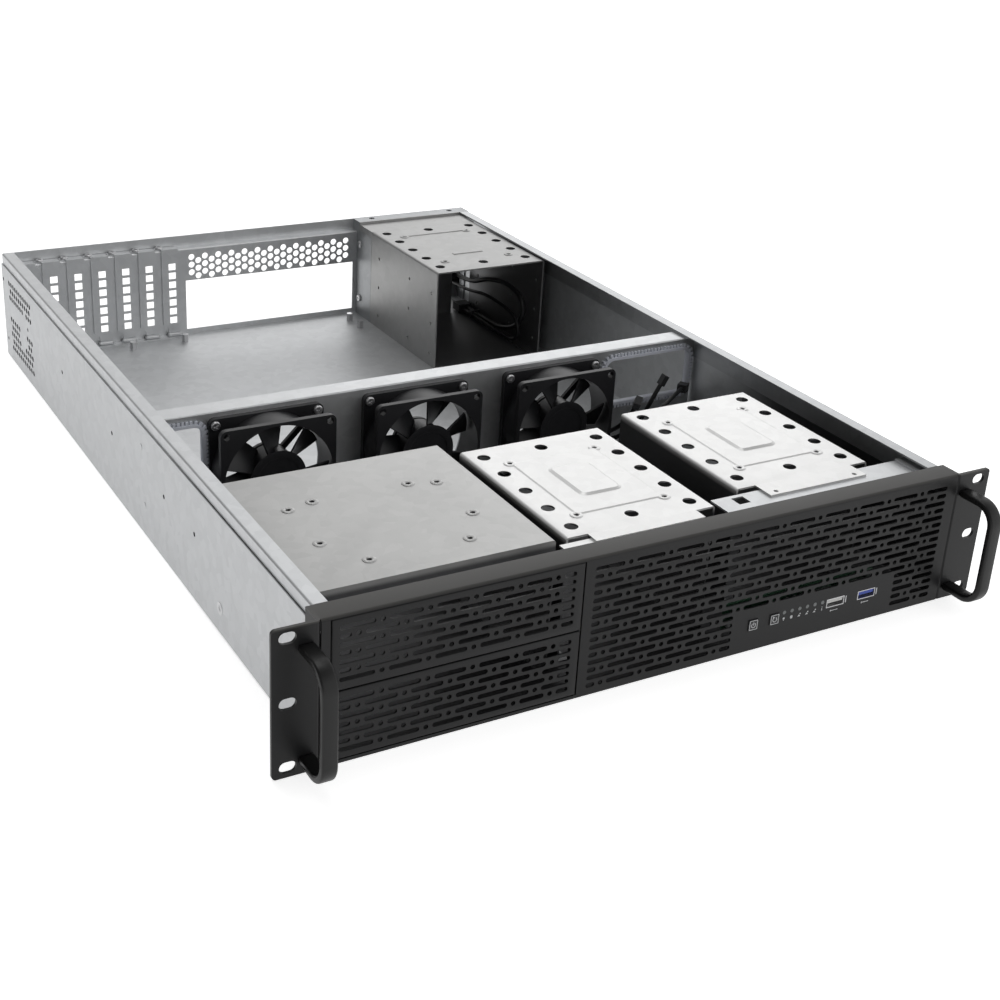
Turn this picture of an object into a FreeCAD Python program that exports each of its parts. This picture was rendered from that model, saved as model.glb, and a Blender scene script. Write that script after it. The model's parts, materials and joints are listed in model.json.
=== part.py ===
import FreeCAD, Part
import Sketcher
import os
from math import atan2, cos, pi, radians, sin, tan
from FreeCAD import Placement, Rotation, Vector

# Empty two-unit rackmount server case, open on top.
# Millimetres. X to the right seen from the front, Y to the rear, Z up.
# The origin is on the underside, at mid-width, in the front plane of the rack ears.

os.makedirs("parts", exist_ok=True)
doc = FreeCAD.newDocument("server_case")
sheet = doc.addObject("Spreadsheet::Sheet", "sizes")


# Sizes: each is one cell of the sheet, and a formula keeps its text and its value
class Size:
    """A number from the sheet, or a formula of such numbers."""

    def __init__(self, value, text):
        self.value = float(value)
        self.text = text

    def __add__(self, other):
        other = as_size(other)
        return Size(self.value + other.value, "(" + self.text + " + " + other.text + ")")

    def __sub__(self, other):
        other = as_size(other)
        return Size(self.value - other.value, "(" + self.text + " - " + other.text + ")")

    def __mul__(self, other):
        other = as_size(other)
        return Size(self.value * other.value, "(" + self.text + " * " + other.text + ")")

    def __truediv__(self, other):
        other = as_size(other)
        return Size(self.value / other.value, "(" + self.text + " / " + other.text + ")")

    def __radd__(self, other):
        return as_size(other) + self

    def __rsub__(self, other):
        return as_size(other) - self

    def __rmul__(self, other):
        return as_size(other) * self

    def __neg__(self):
        return as_size(0) - self


def as_size(number):
    """A Size as it is, or a plain number as a Size."""
    if isinstance(number, Size):
        return number
    if number < 0:
        return Size(number, "(0 - " + repr(-float(number)) + ")")
    return Size(number, repr(float(number)))


rows_used = 0


def size(name, value):
    """Writes one driving dimension into the sheet."""
    global rows_used
    rows_used += 1
    sheet.set("A" + str(rows_used), name)
    sheet.set("B" + str(rows_used), str(value))
    sheet.setAlias("B" + str(rows_used), name)
    return Size(value, "sizes." + name)


def bind(thing, prop, amount):
    """Ties a property of an object to a formula of the sheet."""
    thing.setExpression(prop, as_size(amount).text)


# Overall sizes
half_width = size("case_half_width", 214.5)
length = size("case_length", 645)
height = size("case_height", 88)
plate = size("sheet_thickness", 1.2)
wall_top = size("side_wall_top", 79.8)
touch = size("seat_clearance", 0.3)
wall_in = half_width - plate
rail_inner = wall_in - plate
floor_top = plate

# Rack ears and handles
ear_edge = half_width + size("ear_width", 26.8)
ear_plate = size("ear_thickness", 2)
ear_back = size("ear_flange_rear", 15.8)
ear_corner = size("ear_corner_radius", 2.5)
ear_bend = size("ear_bend_radius", 2.2)
rack_x = half_width + size("rack_slot_from_side", 18.05)
rack_z_middle = size("rack_slot_middle_height", 44.05)
rack_pitch = size("rack_slot_pitch", 38.1)
rack_slot_long = size("rack_slot_length", 9.6)
rack_slot_wide = size("rack_slot_width", 6.8)
handle_x = half_width + size("handle_from_side", 7.9)
handle_wide = size("handle_width", 9)
handle_reach = size("handle_reach", 30)
handle_low = size("handle_bottom", 6.5)
handle_high = size("handle_top", 77)
handle_thick = size("handle_thickness", 4.5)
handle_bend = size("handle_bend_radius", 15)

# Front bezel and the two blanks
fold_radius = size("bezel_fold_radius", 2)
bezel_back = size("bezel_flange_rear", 15.8)
bay_left = -half_width + size("bay_opening_from_side", 5)
bay_right = bay_left + size("bay_opening_width", 150.8)
bay_low = size("bay_opening_bottom", 2)
bay_high = size("bay_opening_top", 86.6)
blank_gap = size("blank_gap", 0.6)
blank_left = bay_left + blank_gap
blank_right = bay_right - blank_gap
blank_split = size("blank_split_height", 43.9)
blank_depth = size("blank_depth", 9)
slot_high = size("grille_slot_height", 2.6)
dot_reach = size("grille_slot_end_to_dot", 3.9)

# Front controls
button_wide = size("button_width", 6.6)
button_high = size("button_height", 7)
button_out = size("button_stand_out", 0.8)
button_z = size("button_centre_height", 17.8)
power_x = half_width - size("power_button_from_side", 150.4)
reset_x = power_x + size("button_spacing", 16)
button_travel = size("button_travel", 1)
button_play = size("button_side_play", 0.3)
button_lip = size("button_lip", 1.2)
light_x = reset_x + size("first_light_from_reset", 7.6)
light_pitch = size("light_pitch", 5.94)
light_z = size("light_height", 20.4)
light_radius = size("light_radius", 1.5)
usb_wide = size("usb_width", 13.9)
usb_high = size("usb_height", 5.9)
usb_z = size("usb_centre_height", 18.4)
usb_shell = size("usb_shell_thickness", 0.5)
usb_tongue_wide = size("usb_tongue_width", 11.5)
usb_tongue_high = size("usb_tongue_height", 1.9)
usb_left_x = light_x + size("usb_from_first_light", 40)
usb_right_x = usb_left_x + size("usb_spacing", 24.8)
board_front = size("front_board_front", 13)
board_thick = size("front_board_thickness", 1.6)
board_left = power_x - size("front_board_left_margin", 12.1)
board_right = usb_right_x + size("front_board_right_margin", 15.5)
board_low = size("front_board_bottom", 9)
board_high = size("front_board_top", 27)

# Rails along the top of the side walls
rail_low = size("rail_bottom", 71)
rail_in = size("rail_flange_width", 9.3)

# Rear panel, slot covers and rear bracket
rear_plane = length - size("rear_panel_recess", 9)
ledge_z = size("rear_ledge_height", 78.5)
cover_first = -half_width + size("slot_cover_first_from_side", 19.2)
io_left = cover_first + size("io_opening_from_first_cover", 134.1)
io_wide = size("io_opening_width", 158.75)
io_low = size("io_opening_bottom", 5.5)
io_high = size("io_opening_height", 44.45)
vent_left = io_left + size("rear_vent_first_column", 5.8)
vent_pitch = size("rear_vent_column_pitch", 6.07)
vent_top = size("rear_vent_first_row", 70.6)
vent_row = size("rear_vent_row_pitch", 6.85)
vent_hole = size("rear_vent_hole_radius", 2.75)
cover_pitch = size("slot_cover_pitch", 20.32)
cover_wide = size("slot_cover_width", 18.4)
cover_low = size("slot_cover_bottom", 8.5)
cover_tongue = size("slot_cover_tongue_bottom", 2.7)
cover_tongue_wide = size("slot_cover_tongue_width", 10)
cover_tab_left = size("slot_cover_tab_left", 14.3)
cover_tab_right = size("slot_cover_tab_right", 5.6)
cover_screw_x = size("slot_cover_screw_offset", 9.8)
cover_hole_wide = size("slot_cover_hole_width", 6.3)
cover_hole_high = size("slot_cover_hole_height", 5.9)
cover_hole_pitch = size("slot_cover_hole_pitch", 8)
cover_hole_first = size("slot_cover_first_hole", 16)
slot_opening = size("slot_opening_width", 14)
screw_radius = size("screw_head_radius", 3.3)
screw_head = size("screw_head_height", 1.8)
bracket_front = length - size("rear_bracket_depth", 13.5)
bracket_left = io_left + io_wide + size("rear_bracket_from_io_opening", 3.75)
bracket_row = length - size("bracket_hole_from_rear", 6)
bracket_hole = size("bracket_hole_radius", 2.5)
bracket_hole_left = bracket_left + size("bracket_hole_left_margin", 16.1)
bracket_hole_right = wall_in - size("bracket_hole_right_margin", 16.3)
bracket_screw_y = length - size("bracket_screw_from_rear", 17)
bracket_screw_low = size("bracket_screw_lower", 17.4)
bracket_screw_high = size("bracket_screw_upper", 68.4)
power_left = bracket_left + size("power_opening_left_margin", 7.7)
power_right = wall_in - size("power_opening_right_margin", 7.3)
power_low = size("power_opening_bottom", 6)
power_high = size("power_opening_top", 78)

# Rear drive cage
rear_cage_left = bracket_left
rear_cage_wide = rail_inner - rear_cage_left - size("rear_cage_from_wall", 7.6)
rear_cage_front = length - size("rear_cage_from_rear", 166)
rear_cage_deep = size("rear_cage_depth", 126)
rear_cage_top = size("rear_cage_top", 86)
cage_foot = size("cage_foot_width", 9)
cage_hole = size("cage_hole_radius", 3.4)
cage_hole_pitch = size("cage_hole_pitch", 25.4)
cage_margin = size("cage_hole_margin", 10.3)
rear_first_hole = size("rear_cage_first_hole", 15)
side_hole = size("cage_side_hole_radius", 1.4)
side_hole_low = size("cage_side_hole_lowest_row", 12.6)
side_hole_row = size("cage_side_hole_row_pitch", 26.6)
side_hole_front = size("cage_side_hole_front", 9.4)
side_hole_middle = size("cage_side_hole_middle", 50.3)
side_hole_rear = size("cage_side_hole_rear", 110)
drive_hole = size("drive_screw_hole_radius", 1.6)
small_drive_wide = size("small_drive_screw_width", 61.72)
small_drive_long = size("small_drive_screw_length", 76.6)
wide_drive_wide = size("wide_drive_screw_width", 95.25)
wide_drive_long = size("wide_drive_screw_length", 44.45)
drive_from_hole = size("drive_screw_from_first_hole", 11)

# Fan wall, fans and cable passages
wall_front = size("fan_wall_front", 272.5)
fan_wall_top = size("fan_wall_top", 86)
wall_flange = size("fan_wall_flange_depth", 15.5)
wall_flange_half = half_width - size("fan_wall_flange_from_side", 11)
fan_side = size("fan_side", 80)
fan_deep = size("fan_depth", 25)
fan_bore = size("fan_bore_radius", 38)
fan_tube = size("fan_tube_radius", 39.6)
fan_flange = size("fan_flange_thickness", 4)
fan_corner = size("fan_corner_radius", 4.5)
fan_hole_at = size("fan_hole_offset", 35.75)
fan_hole = size("fan_hole_radius", 2.2)
fan_left_margin = size("first_fan_from_side", 80.1)
fan_right_margin = size("last_fan_from_side", 129.6)
fan_first_x = fan_left_margin - half_width
fan_pitch = (half_width * 2 - fan_left_margin - fan_right_margin) / 2
fan_z = size("fan_centre_height", 42.2)
hub_radius = size("fan_hub_radius", 17)
hub_front = size("fan_hub_inset", 1.5)
hub_deep = size("fan_hub_depth", 19)
blade_tip = size("fan_blade_tip_radius", 37)
shaft_radius = size("fan_shaft_radius", 2)
shaft_play = size("fan_shaft_play", 0.05)
strut_wide = size("fan_strut_width", 4)
strut_deep = size("fan_strut_depth", 2.5)
pass_high = size("cable_passage_top", 79.8)
pass_low = size("cable_passage_bottom", 42)
pass_radius = size("cable_passage_radius", 8)
pass_margin = size("cable_passage_from_wall", 3.1)
pass_right_from = half_width - fan_right_margin + fan_side / 2 + size("right_passage_from_fan", 6.1)
pass_right_to = rail_inner - pass_margin
pass_left_from = pass_margin - rail_inner
pass_left_to = fan_first_x - fan_side / 2 - size("left_passage_from_fan", 1.6)
grommet_wall = size("grommet_wall", 2)
grommet_deep = size("grommet_depth", 5.2)

# Front cages
cage_top = size("front_cage_top", 84)
wide_cage_left = -half_width + size("wide_cage_from_side", 8.7)
wide_cage_wide = size("wide_cage_width", 147.9)
wide_cage_front = size("wide_cage_front", 33)
wide_cage_deep = size("wide_cage_depth", 140.7)
wide_cage_lip = size("wide_cage_front_lip", 7)
small_cage_wide = size("small_cage_width", 103.2)
small_cage_deep = size("small_cage_depth", 125.5)
middle_cage_left = wide_cage_left + wide_cage_wide + size("cage_gap", 6.5)
middle_cage_front = size("middle_cage_front", 32.5)
middle_first_hole = size("middle_cage_first_hole", 11.6)
cage_spare = half_width - middle_cage_left - small_cage_wide * 2
right_cage_left = middle_cage_left + small_cage_wide + cage_spare * size("cage_spare_share", 0.44034)
right_cage_front = size("right_cage_front", 45.8)
right_first_hole = size("right_cage_first_hole", 13.4)
tongue_inset = size("cage_tongue_inset", 14)
middle_tongue_front = size("middle_tongue_front", 23)
right_tongue_front = size("right_tongue_front", 30.6)
lug_wide = size("front_lug_width", 22)
lug_deep = size("front_lug_depth", 6)
cross_left = right_cage_left - size("cross_bracket_overhang", 22.7)
cross_front = size("cross_bracket_front", 22)
cross_back = right_cage_front - size("cross_bracket_from_cage", 4.3)
cross_drop = size("cross_bracket_drop", 12)
cross_end = size("cross_bracket_end_plate", 11.6)
cross_hole = size("cross_bracket_hole", 8.5)
cross_hole_margin = size("cross_bracket_hole_margin", 12.8)
cross_hole_front = size("cross_bracket_hole_front", 30)

# Vents and screw holes of the left wall
side_vent_radius = size("side_vent_hole_radius", 2.2)
side_vent_first = length - size("side_vent_first_from_rear", 85.5)
side_vent_pitch = size("side_vent_column_pitch", 6.3)
side_vent_row = size("side_vent_row_pitch", 6.17)
side_vent_low = size("side_vent_first_row", 14)
wall_hole = size("wall_hole_radius", 1.6)
wall_hole_z = size("wall_hole_height", 47.5)


# Sketches
PLANES = {"XY": ("XY_Plane", 1), "XZ": ("XZ_Plane", -1), "YZ": ("YZ_Plane", 1)}
features_that_cut = []


class Drawing:
    """A fully constrained sketch on a plane of a body, at a level along that plane's axis."""

    def __init__(self, body, name, plane, level=0):
        role, self.sign = PLANES[plane]
        self.body = body
        self.sketch = body.newObject("Sketcher::SketchObject", body.Label + "_" + name)
        flat = [f for f in body.Origin.OriginFeatures if f.Role == role][0]
        self.sketch.AttachmentSupport = (flat, [""])
        self.sketch.MapMode = "FlatFace"
        bind(self.sketch, ".AttachmentOffset.Base.z", as_size(level) * self.sign)
        self.shapes = []
        self.rules = []
        self.amounts = []

    def rule(self, kind, numbers, amount=None):
        """One constraint, bound to a formula where it has an amount."""
        if amount is None:
            self.rules.append(Sketcher.Constraint(kind, *numbers))
            return
        amount = as_size(amount)
        self.amounts.append((len(self.rules), amount))
        self.rules.append(Sketcher.Constraint(kind, *numbers, amount.value))

    def pin(self, edge, end, x, y):
        """Holds the end of an edge (1 start, 2 end, 3 centre) at x, y."""
        self.rule("DistanceX", (-1, 1, edge, end), x)
        self.rule("DistanceY", (-1, 1, edge, end), y)

    def outline(self, corners):
        """A closed outline. A corner is (x, y), or (x, y, radius) between square runs."""
        count = len(corners)
        flat = [tuple(as_size(part) for part in corner) for corner in corners]
        ends = []
        for i, corner in enumerate(flat):
            before = flat[i - 1]
            after = flat[(i + 1) % count]
            if len(corner) == 2:
                ends.append((corner, corner, None))
                continue
            x, y, radius = corner
            came_x = heading(x.value - before[0].value)
            came_y = heading(y.value - before[1].value)
            goes_x = heading(after[0].value - x.value)
            goes_y = heading(after[1].value - y.value)
            start = (x - radius * came_x, y - radius * came_y)
            end = (x + radius * goes_x, y + radius * goes_y)
            centre = (start[0] + radius * goes_x, start[1] + radius * goes_y)
            ends.append((start, end, (centre, radius, came_x * goes_y - came_y * goes_x)))
        first = len(self.shapes)
        edges = []
        for i in range(count):
            start, end, bend = ends[i]
            if bend is not None:
                edges.append(("arc", start, end, bend))
            edges.append(("line", end, ends[(i + 1) % count][0], None))
        for kind, start, end, bend in edges:
            a = Vector(start[0].value, start[1].value, 0)
            b = Vector(end[0].value, end[1].value, 0)
            if kind == "line":
                self.shapes.append(Part.LineSegment(a, b))
                continue
            centre, radius, turn = bend
            middle = Vector(centre[0].value, centre[1].value, 0)
            from_angle = atan2(a.y - middle.y, a.x - middle.x)
            to_angle = atan2(b.y - middle.y, b.x - middle.x)
            circle = Part.Circle(middle, Vector(0, 0, 1), radius.value)
            if turn > 0:
                self.shapes.append(Part.ArcOfCircle(circle, from_angle, to_angle))
            else:
                self.shapes.append(Part.ArcOfCircle(circle, to_angle, from_angle))
            self.rule("Radius", (len(self.shapes) - 1,), radius)
        total = len(edges)
        for i in range(total):
            kind, start, end, bend = edges[i]
            begins = 1 if kind == "line" or bend[2] > 0 else 2
            before_kind, _, _, before_bend = edges[i - 1]
            before_ends = 2 if before_kind == "line" or before_bend[2] > 0 else 1
            self.rule("Coincident", (first + (i - 1) % total, before_ends, first + i, begins))
            self.pin(first + i, begins, start[0], start[1])

    def rectangle(self, x0, x1, y0, y1, radius=None):
        corners = [(x0, y0), (x1, y0), (x1, y1), (x0, y1)]
        if radius is not None:
            corners = [corner + (radius,) for corner in corners]
        self.outline(corners)

    def many_sided(self, x, y, radius, sides, turn=0.5):
        """A regular outline about x, y, with flats at the radius."""
        reach = as_size(radius) / cos(pi / sides)
        corners = []
        for i in range(sides):
            angle = 2 * pi * (i + turn) / sides
            corners.append((as_size(x) + reach * cos(angle), as_size(y) + reach * sin(angle)))
        self.outline(corners)

    def circle(self, x, y, radius):
        x = as_size(x)
        y = as_size(y)
        radius = as_size(radius)
        edge = len(self.shapes)
        self.shapes.append(Part.Circle(Vector(x.value, y.value, 0), Vector(0, 0, 1), radius.value))
        self.pin(edge, 3, x, y)
        self.rule("Radius", (edge,), radius)

    def oblong(self, x, y, long, wide):
        """A slot with round ends, long way across."""
        x = as_size(x)
        y = as_size(y)
        radius = as_size(wide) / 2
        half = as_size(long) / 2 - radius
        self.outline_of_slot(x - half, x + half, y, radius)

    def outline_of_slot(self, x0, x1, y, radius):
        edge = len(self.shapes)
        left = Vector(x0.value, y.value, 0)
        right = Vector(x1.value, y.value, 0)
        up = Vector(0, radius.value, 0)
        axis = Vector(0, 0, 1)
        self.shapes.append(Part.ArcOfCircle(Part.Circle(left, axis, radius.value), pi / 2, 3 * pi / 2))
        self.shapes.append(Part.ArcOfCircle(Part.Circle(right, axis, radius.value), -pi / 2, pi / 2))
        self.shapes.append(Part.LineSegment(left - up, right - up))
        self.shapes.append(Part.LineSegment(right + up, left + up))
        self.rule("Tangent", (edge, 2, edge + 2, 1))
        self.rule("Tangent", (edge + 2, 2, edge + 1, 1))
        self.rule("Tangent", (edge + 1, 2, edge + 3, 1))
        self.rule("Tangent", (edge + 3, 2, edge, 1))
        self.rule("Equal", (edge, edge + 1))
        self.rule("DistanceX", (-1, 1, edge, 3), x0)
        self.rule("DistanceX", (-1, 1, edge + 1, 3), x1)
        self.rule("DistanceY", (-1, 1, edge, 3), y)
        self.rule("Horizontal", (edge + 2,))
        self.rule("Radius", (edge,), radius)

    def finish(self):
        self.sketch.addGeometry(self.shapes, False)
        self.sketch.addConstraint(self.rules)
        for index, amount in self.amounts:
            self.sketch.setExpression("Constraints[" + str(index) + "]", amount.text)

    def pad(self, depth):
        """Adds the drawn area as a sheet or bar, from the level towards the plus side."""
        self.finish()
        feature = self.body.newObject("PartDesign::Pad", self.sketch.Name + "_pad")
        feature.Profile = self.sketch
        feature.Reversed = self.sign < 0
        bind(feature, "Length", depth)
        return feature

    def cut(self, depth):
        """Cuts the drawn area from the level towards the plus side."""
        self.finish()
        feature = self.body.newObject("PartDesign::Pocket", self.sketch.Name + "_cut")
        feature.Profile = self.sketch
        feature.Reversed = self.sign > 0
        bind(feature, "Length", depth)
        features_that_cut.append(feature)
        return feature


def heading(amount):
    """The direction of a run along one axis: -1, 0 or 1."""
    if abs(amount) < 1e-9:
        return 0
    return 1 if amount > 0 else -1


nodes = {}


def new_body(label):
    body = doc.addObject("PartDesign::Body", label)
    body.Label = label
    nodes[label] = body
    return body


def row_of(body, feature, axis, pitch, count):
    """Repeats a feature along an axis."""
    pattern = body.newObject("PartDesign::LinearPattern", feature.Name + "_row")
    pattern.Originals = [feature]
    line = [f for f in body.Origin.OriginFeatures if f.Role == axis + "_Axis"][0]
    pattern.Direction = (line, [""])
    pattern.Mode = "Spacing"
    bind(pattern, "Offset", pitch)
    pattern.Occurrences = count
    body.Tip = pattern


def around(body, feature, axis, count):
    """Repeats a feature round an axis of the body."""
    pattern = body.newObject("PartDesign::PolarPattern", feature.Name + "_ring")
    pattern.Originals = [feature]
    line = [f for f in body.Origin.OriginFeatures if f.Role == axis + "_Axis"][0]
    pattern.Axis = (line, [""])
    pattern.Angle = 360
    pattern.Occurrences = count
    body.Tip = pattern


AXIS_TURNS = {
    "+Z": Rotation(),
    "-Z": Rotation(Vector(1, 0, 0), 180),
    "+Y": Rotation(Vector(1, 0, 0), -90),
    "-Y": Rotation(Vector(1, 0, 0), 90),
    "+X": Rotation(Vector(0, 1, 0), 90),
    "-X": Rotation(Vector(0, 1, 0), -90),
}


def stud(name, x, y, z, direction, radius, tall, sides=8):
    """A many-sided head or post that stands on x, y, z and points in a direction."""
    post = doc.addObject("Part::Prism", name)
    post.Polygon = sides
    bind(post, "Circumradius", radius)
    bind(post, "Height", tall)
    post.Placement = Placement(Vector(), AXIS_TURNS[direction])
    bind(post, ".Placement.Base.x", x)
    bind(post, ".Placement.Base.y", y)
    bind(post, ".Placement.Base.z", z)
    return post


def block(name, x0, x1, y0, y1, z0, z1):
    """A plain block between two corners."""
    solid = doc.addObject("Part::Box", name)
    bind(solid, "Length", as_size(x1) - x0)
    bind(solid, "Width", as_size(y1) - y0)
    bind(solid, "Height", as_size(z1) - z0)
    bind(solid, ".Placement.Base.x", x0)
    bind(solid, ".Placement.Base.y", y0)
    bind(solid, ".Placement.Base.z", z0)
    return solid


def group(label, solids):
    """Like pieces as one node of separate solids."""
    set_of = doc.addObject("Part::Compound", label)
    set_of.Links = solids
    set_of.Label = label
    nodes[label] = set_of
    return set_of


# Base tray: floor and both side walls, folded from one sheet
tray = new_body("base_tray")
section = Drawing(tray, "section", "XZ", plate)
section.outline([
    (-half_width, wall_top),
    (-half_width, 0, 2.2),
    (half_width, 0, 2.2),
    (half_width, wall_top),
    (wall_in, wall_top),
    (wall_in, plate),
    (-wall_in, plate),
    (-wall_in, wall_top),
])
section.pad(length - plate)

# The vent field of the left wall: staggered rows of holes that leave a plain disc.
# A run is its row from the bottom, its first column and its number of holes.
VENT_RUNS = (
    (0, 0, 11), (1, 0.5, 10), (2, 0, 4), (2, 6, 5), (3, 0.5, 2), (3, 6.5, 4),
    (4, 0, 3), (4, 6, 5), (7, 0, 3), (7, 4, 7), (8, 0.5, 10), (9, 0, 11),
)
for number, (row, column, count) in enumerate(VENT_RUNS):
    field = Drawing(tray, "vent_" + str(number + 1), "YZ", -half_width - 1)
    field.many_sided(
        side_vent_first + side_vent_pitch * column, side_vent_low + side_vent_row * row,
        side_vent_radius, 6,
    )
    row_of(tray, field.cut(plate + 2), "Y", side_vent_pitch, count)

# Screw holes of the left wall: for the vent plate, rear panel, fan wall and cages
wall_holes = Drawing(tray, "wall_holes", "YZ", -half_width - 1)
for y, z in (
    (length - size("vent_hole_from_rear", 75.5), wall_hole_z),
    (length - size("rail_hole_from_rear", 173.5), wall_hole_z),
    (wall_front + size("wall_hole_behind_fans", 77), wall_hole_z),
    (wall_front - size("wall_hole_before_fans", 30.5), wall_hole_z),
    (wide_cage_front + size("wall_hole_behind_cage", 153.4), wall_hole_z),
    (length - size("panel_hole_upper_from_rear", 4), size("panel_hole_upper", 67.8)),
    (length - size("panel_hole_lower_from_rear", 7), size("panel_hole_lower", 17.3)),
    (wide_cage_front + size("cage_screw_from_front", 112), size("cage_screw_height", 18.4)),
):
    wall_holes.many_sided(y, z, wall_hole, 6)
wall_holes.cut(plate + 2)

# Rails: a strip inside each wall with a flange over the top
rail_front = bezel_back + touch


def rail(label, side, rear):
    """A rail on one side, -1 left or 1 right."""
    body = new_body(label)
    shape = Drawing(body, "section", "XZ", rail_front)
    shape.outline([
        (wall_in * side, rail_low),
        (wall_in * side, height, 1.5),
        ((wall_in - rail_in) * side, height),
        ((wall_in - rail_in) * side, height - plate),
        (rail_inner * side, height - plate),
        (rail_inner * side, rail_low),
    ])
    shape.pad(rear - rail_front)
    return body


rail("rail_left", -1, length)
rail("rail_right", 1, bracket_front - touch)

# Rear panel: recessed sheet with a ledge, a lip, side and bottom flanges
panel = new_body("rear_panel")
panel_left = -rail_inner
lip_left = -(wall_in - rail_in) + touch
rear_sheet = Drawing(panel, "sheet", "XZ", rear_plane)
rear_sheet.rectangle(panel_left, bracket_left, floor_top, ledge_z - plate)
rear_sheet.pad(plate)
fold = Drawing(panel, "fold", "YZ", panel_left)
fold.outline([
    (rear_plane, ledge_z - plate),
    (rear_plane, ledge_z, 1),
    (length - plate, ledge_z),
    (length - plate, height),
    (length, height),
    (length, ledge_z - plate, 1),
])
fold.pad(bracket_left - panel_left)
corner_relief = Drawing(panel, "corner_relief", "XZ", rear_plane - 1)
corner_relief.rectangle(panel_left - 1, lip_left, ledge_z + touch, height + 1)
corner_relief.cut(length - rear_plane + 2)
bottom = Drawing(panel, "bottom_flange", "XY", floor_top)
bottom.rectangle(panel_left, bracket_left, rear_plane, length)
bottom.pad(plate)
side_flange = Drawing(panel, "side_flange", "YZ", -wall_in)
side_flange.rectangle(rear_plane, length, floor_top + 2, rail_low - touch)
side_flange.pad(plate)
foot_left = cover_first - cover_wide / 2
foot_right = cover_first + cover_pitch * 6 + cover_wide / 2
bridge_deep = size("slot_bridge_depth", 3.6)
bridge_wide = size("slot_bridge_width", 13)
bridge_top = size("slot_bridge_top", 5)
foot = Drawing(panel, "foot", "XY", floor_top)
foot.rectangle(foot_left, foot_right, rear_plane - plate - bridge_deep - 2, rear_plane)
foot.pad(plate)
bridge = Drawing(panel, "bridge", "XY", floor_top + plate)
bridge.rectangle(
    cover_first - bridge_wide / 2, cover_first + bridge_wide / 2,
    rear_plane - plate - touch - bridge_deep, rear_plane - plate - touch,
)
row_of(panel, bridge.pad(bridge_top - floor_top - plate), "X", cover_pitch, 7)
io = Drawing(panel, "io_opening", "XZ", rear_plane - 1)
io.rectangle(io_left, io_left + io_wide, io_low, io_low + io_high)
io.cut(plate + 2)
slot_cut = Drawing(panel, "slot_opening", "XZ", rear_plane - 1)
slot_cut.rectangle(
    cover_first - slot_opening / 2, cover_first + slot_opening / 2,
    cover_low + 2, ledge_z - 5,
)
row_of(panel, slot_cut.cut(plate + 2), "X", cover_pitch, 7)
for shift, columns in ((0, 13), (1, 12)):
    holes = Drawing(panel, "vent_" + str(shift + 1), "XZ", rear_plane - 1)
    for row in range(3):
        drop = vent_row * (row + shift / 2)
        holes.many_sided(vent_left + vent_pitch * shift, vent_top - drop, vent_hole, 8)
    row_of(panel, holes.cut(plate + 2), "X", vent_pitch * 2, columns)

# Slot covers: seven folded strips with square holes, a tab on the ledge and a tongue
cover_shoulder = size("slot_cover_shoulder", 4)
cover_tab_back = size("slot_cover_tab_depth", 7)
for number in range(7):
    cover = new_body("slot_cover_" + str(number + 1))
    centre = cover_first + cover_pitch * number
    half = cover_wide / 2
    tongue = cover_tongue_wide / 2
    strip = Drawing(cover, "strip", "XZ", rear_plane - plate)
    strip.outline([
        (centre - half, cover_low + cover_shoulder),
        (centre - tongue, cover_low),
        (centre - tongue * 0.8, cover_tongue),
        (centre + tongue * 0.8, cover_tongue),
        (centre + tongue, cover_low),
        (centre + half, cover_low + cover_shoulder),
        (centre + half, ledge_z - cover_shoulder),
        (centre + cover_tab_right, ledge_z),
        (centre + cover_tab_right, ledge_z + plate),
        (centre - half, ledge_z + plate),
    ])
    strip.pad(plate)
    tab = Drawing(cover, "tab", "XY", ledge_z)
    tab.outline([
        (centre - half, rear_plane - plate),
        (centre + cover_tab_right, rear_plane - plate),
        (centre + cover_tab_right, rear_plane + cover_tab_back),
        (centre - cover_tab_left, rear_plane + cover_tab_back),
        (centre - cover_tab_left, rear_plane + 1),
        (centre - half, rear_plane + 1),
    ])
    tab.pad(plate)
    holes = Drawing(cover, "holes", "XZ", rear_plane - plate - 1)
    holes.rectangle(
        centre - cover_hole_wide / 2, centre + cover_hole_wide / 2,
        cover_hole_first - cover_hole_high / 2, cover_hole_first + cover_hole_high / 2,
    )
    row_of(cover, holes.cut(plate + 2), "Z", cover_hole_pitch, 7)
group("slot_cover_screws", [
    stud(
        "slot_cover_screw_" + str(i + 1),
        cover_first + cover_pitch * i - cover_screw_x, rear_plane + cover_tab_back / 2,
        ledge_z + plate, "+Z", screw_radius, screw_head,
    )
    for i in range(7)
])

# Rear bracket: the frame of the right rear corner, with the power supply opening
bracket = new_body("rear_bracket")
frame_sheet = Drawing(bracket, "frame", "XZ", length - plate)
frame_sheet.rectangle(bracket_left, wall_in, floor_top, height)
frame_sheet.rectangle(power_left, power_right, power_low, power_high, 2)
frame_sheet.pad(plate)
flange = Drawing(bracket, "flange", "XY", height - plate)
flange.rectangle(bracket_left, wall_in, bracket_front, length)
flange.many_sided(bracket_hole_left, bracket_row, bracket_hole, 8)
flange.many_sided(bracket_hole_right, bracket_row, bracket_hole, 8)
flange.pad(plate)
inner_side = Drawing(bracket, "inner_side", "YZ", bracket_left)
inner_side.outline([
    (rear_cage_front + rear_cage_deep + touch, floor_top),
    (length, floor_top),
    (length, height),
    (bracket_front, height),
    (bracket_front, ledge_z + 2),
    (rear_cage_front + rear_cage_deep + touch, ledge_z + 2),
])
inner_side.pad(plate)
outer_side = Drawing(bracket, "outer_side", "YZ", rail_inner)
outer_side.rectangle(bracket_front, length, floor_top, height)
outer_side.pad(plate)
group("rear_bracket_screws", [
    stud(
        "rear_bracket_screw_" + str(i + 1), bracket_left, bracket_screw_y, z, "-X",
        screw_radius, screw_head,
    )
    for i, z in enumerate((bracket_screw_low, bracket_screw_high))
])


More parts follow.
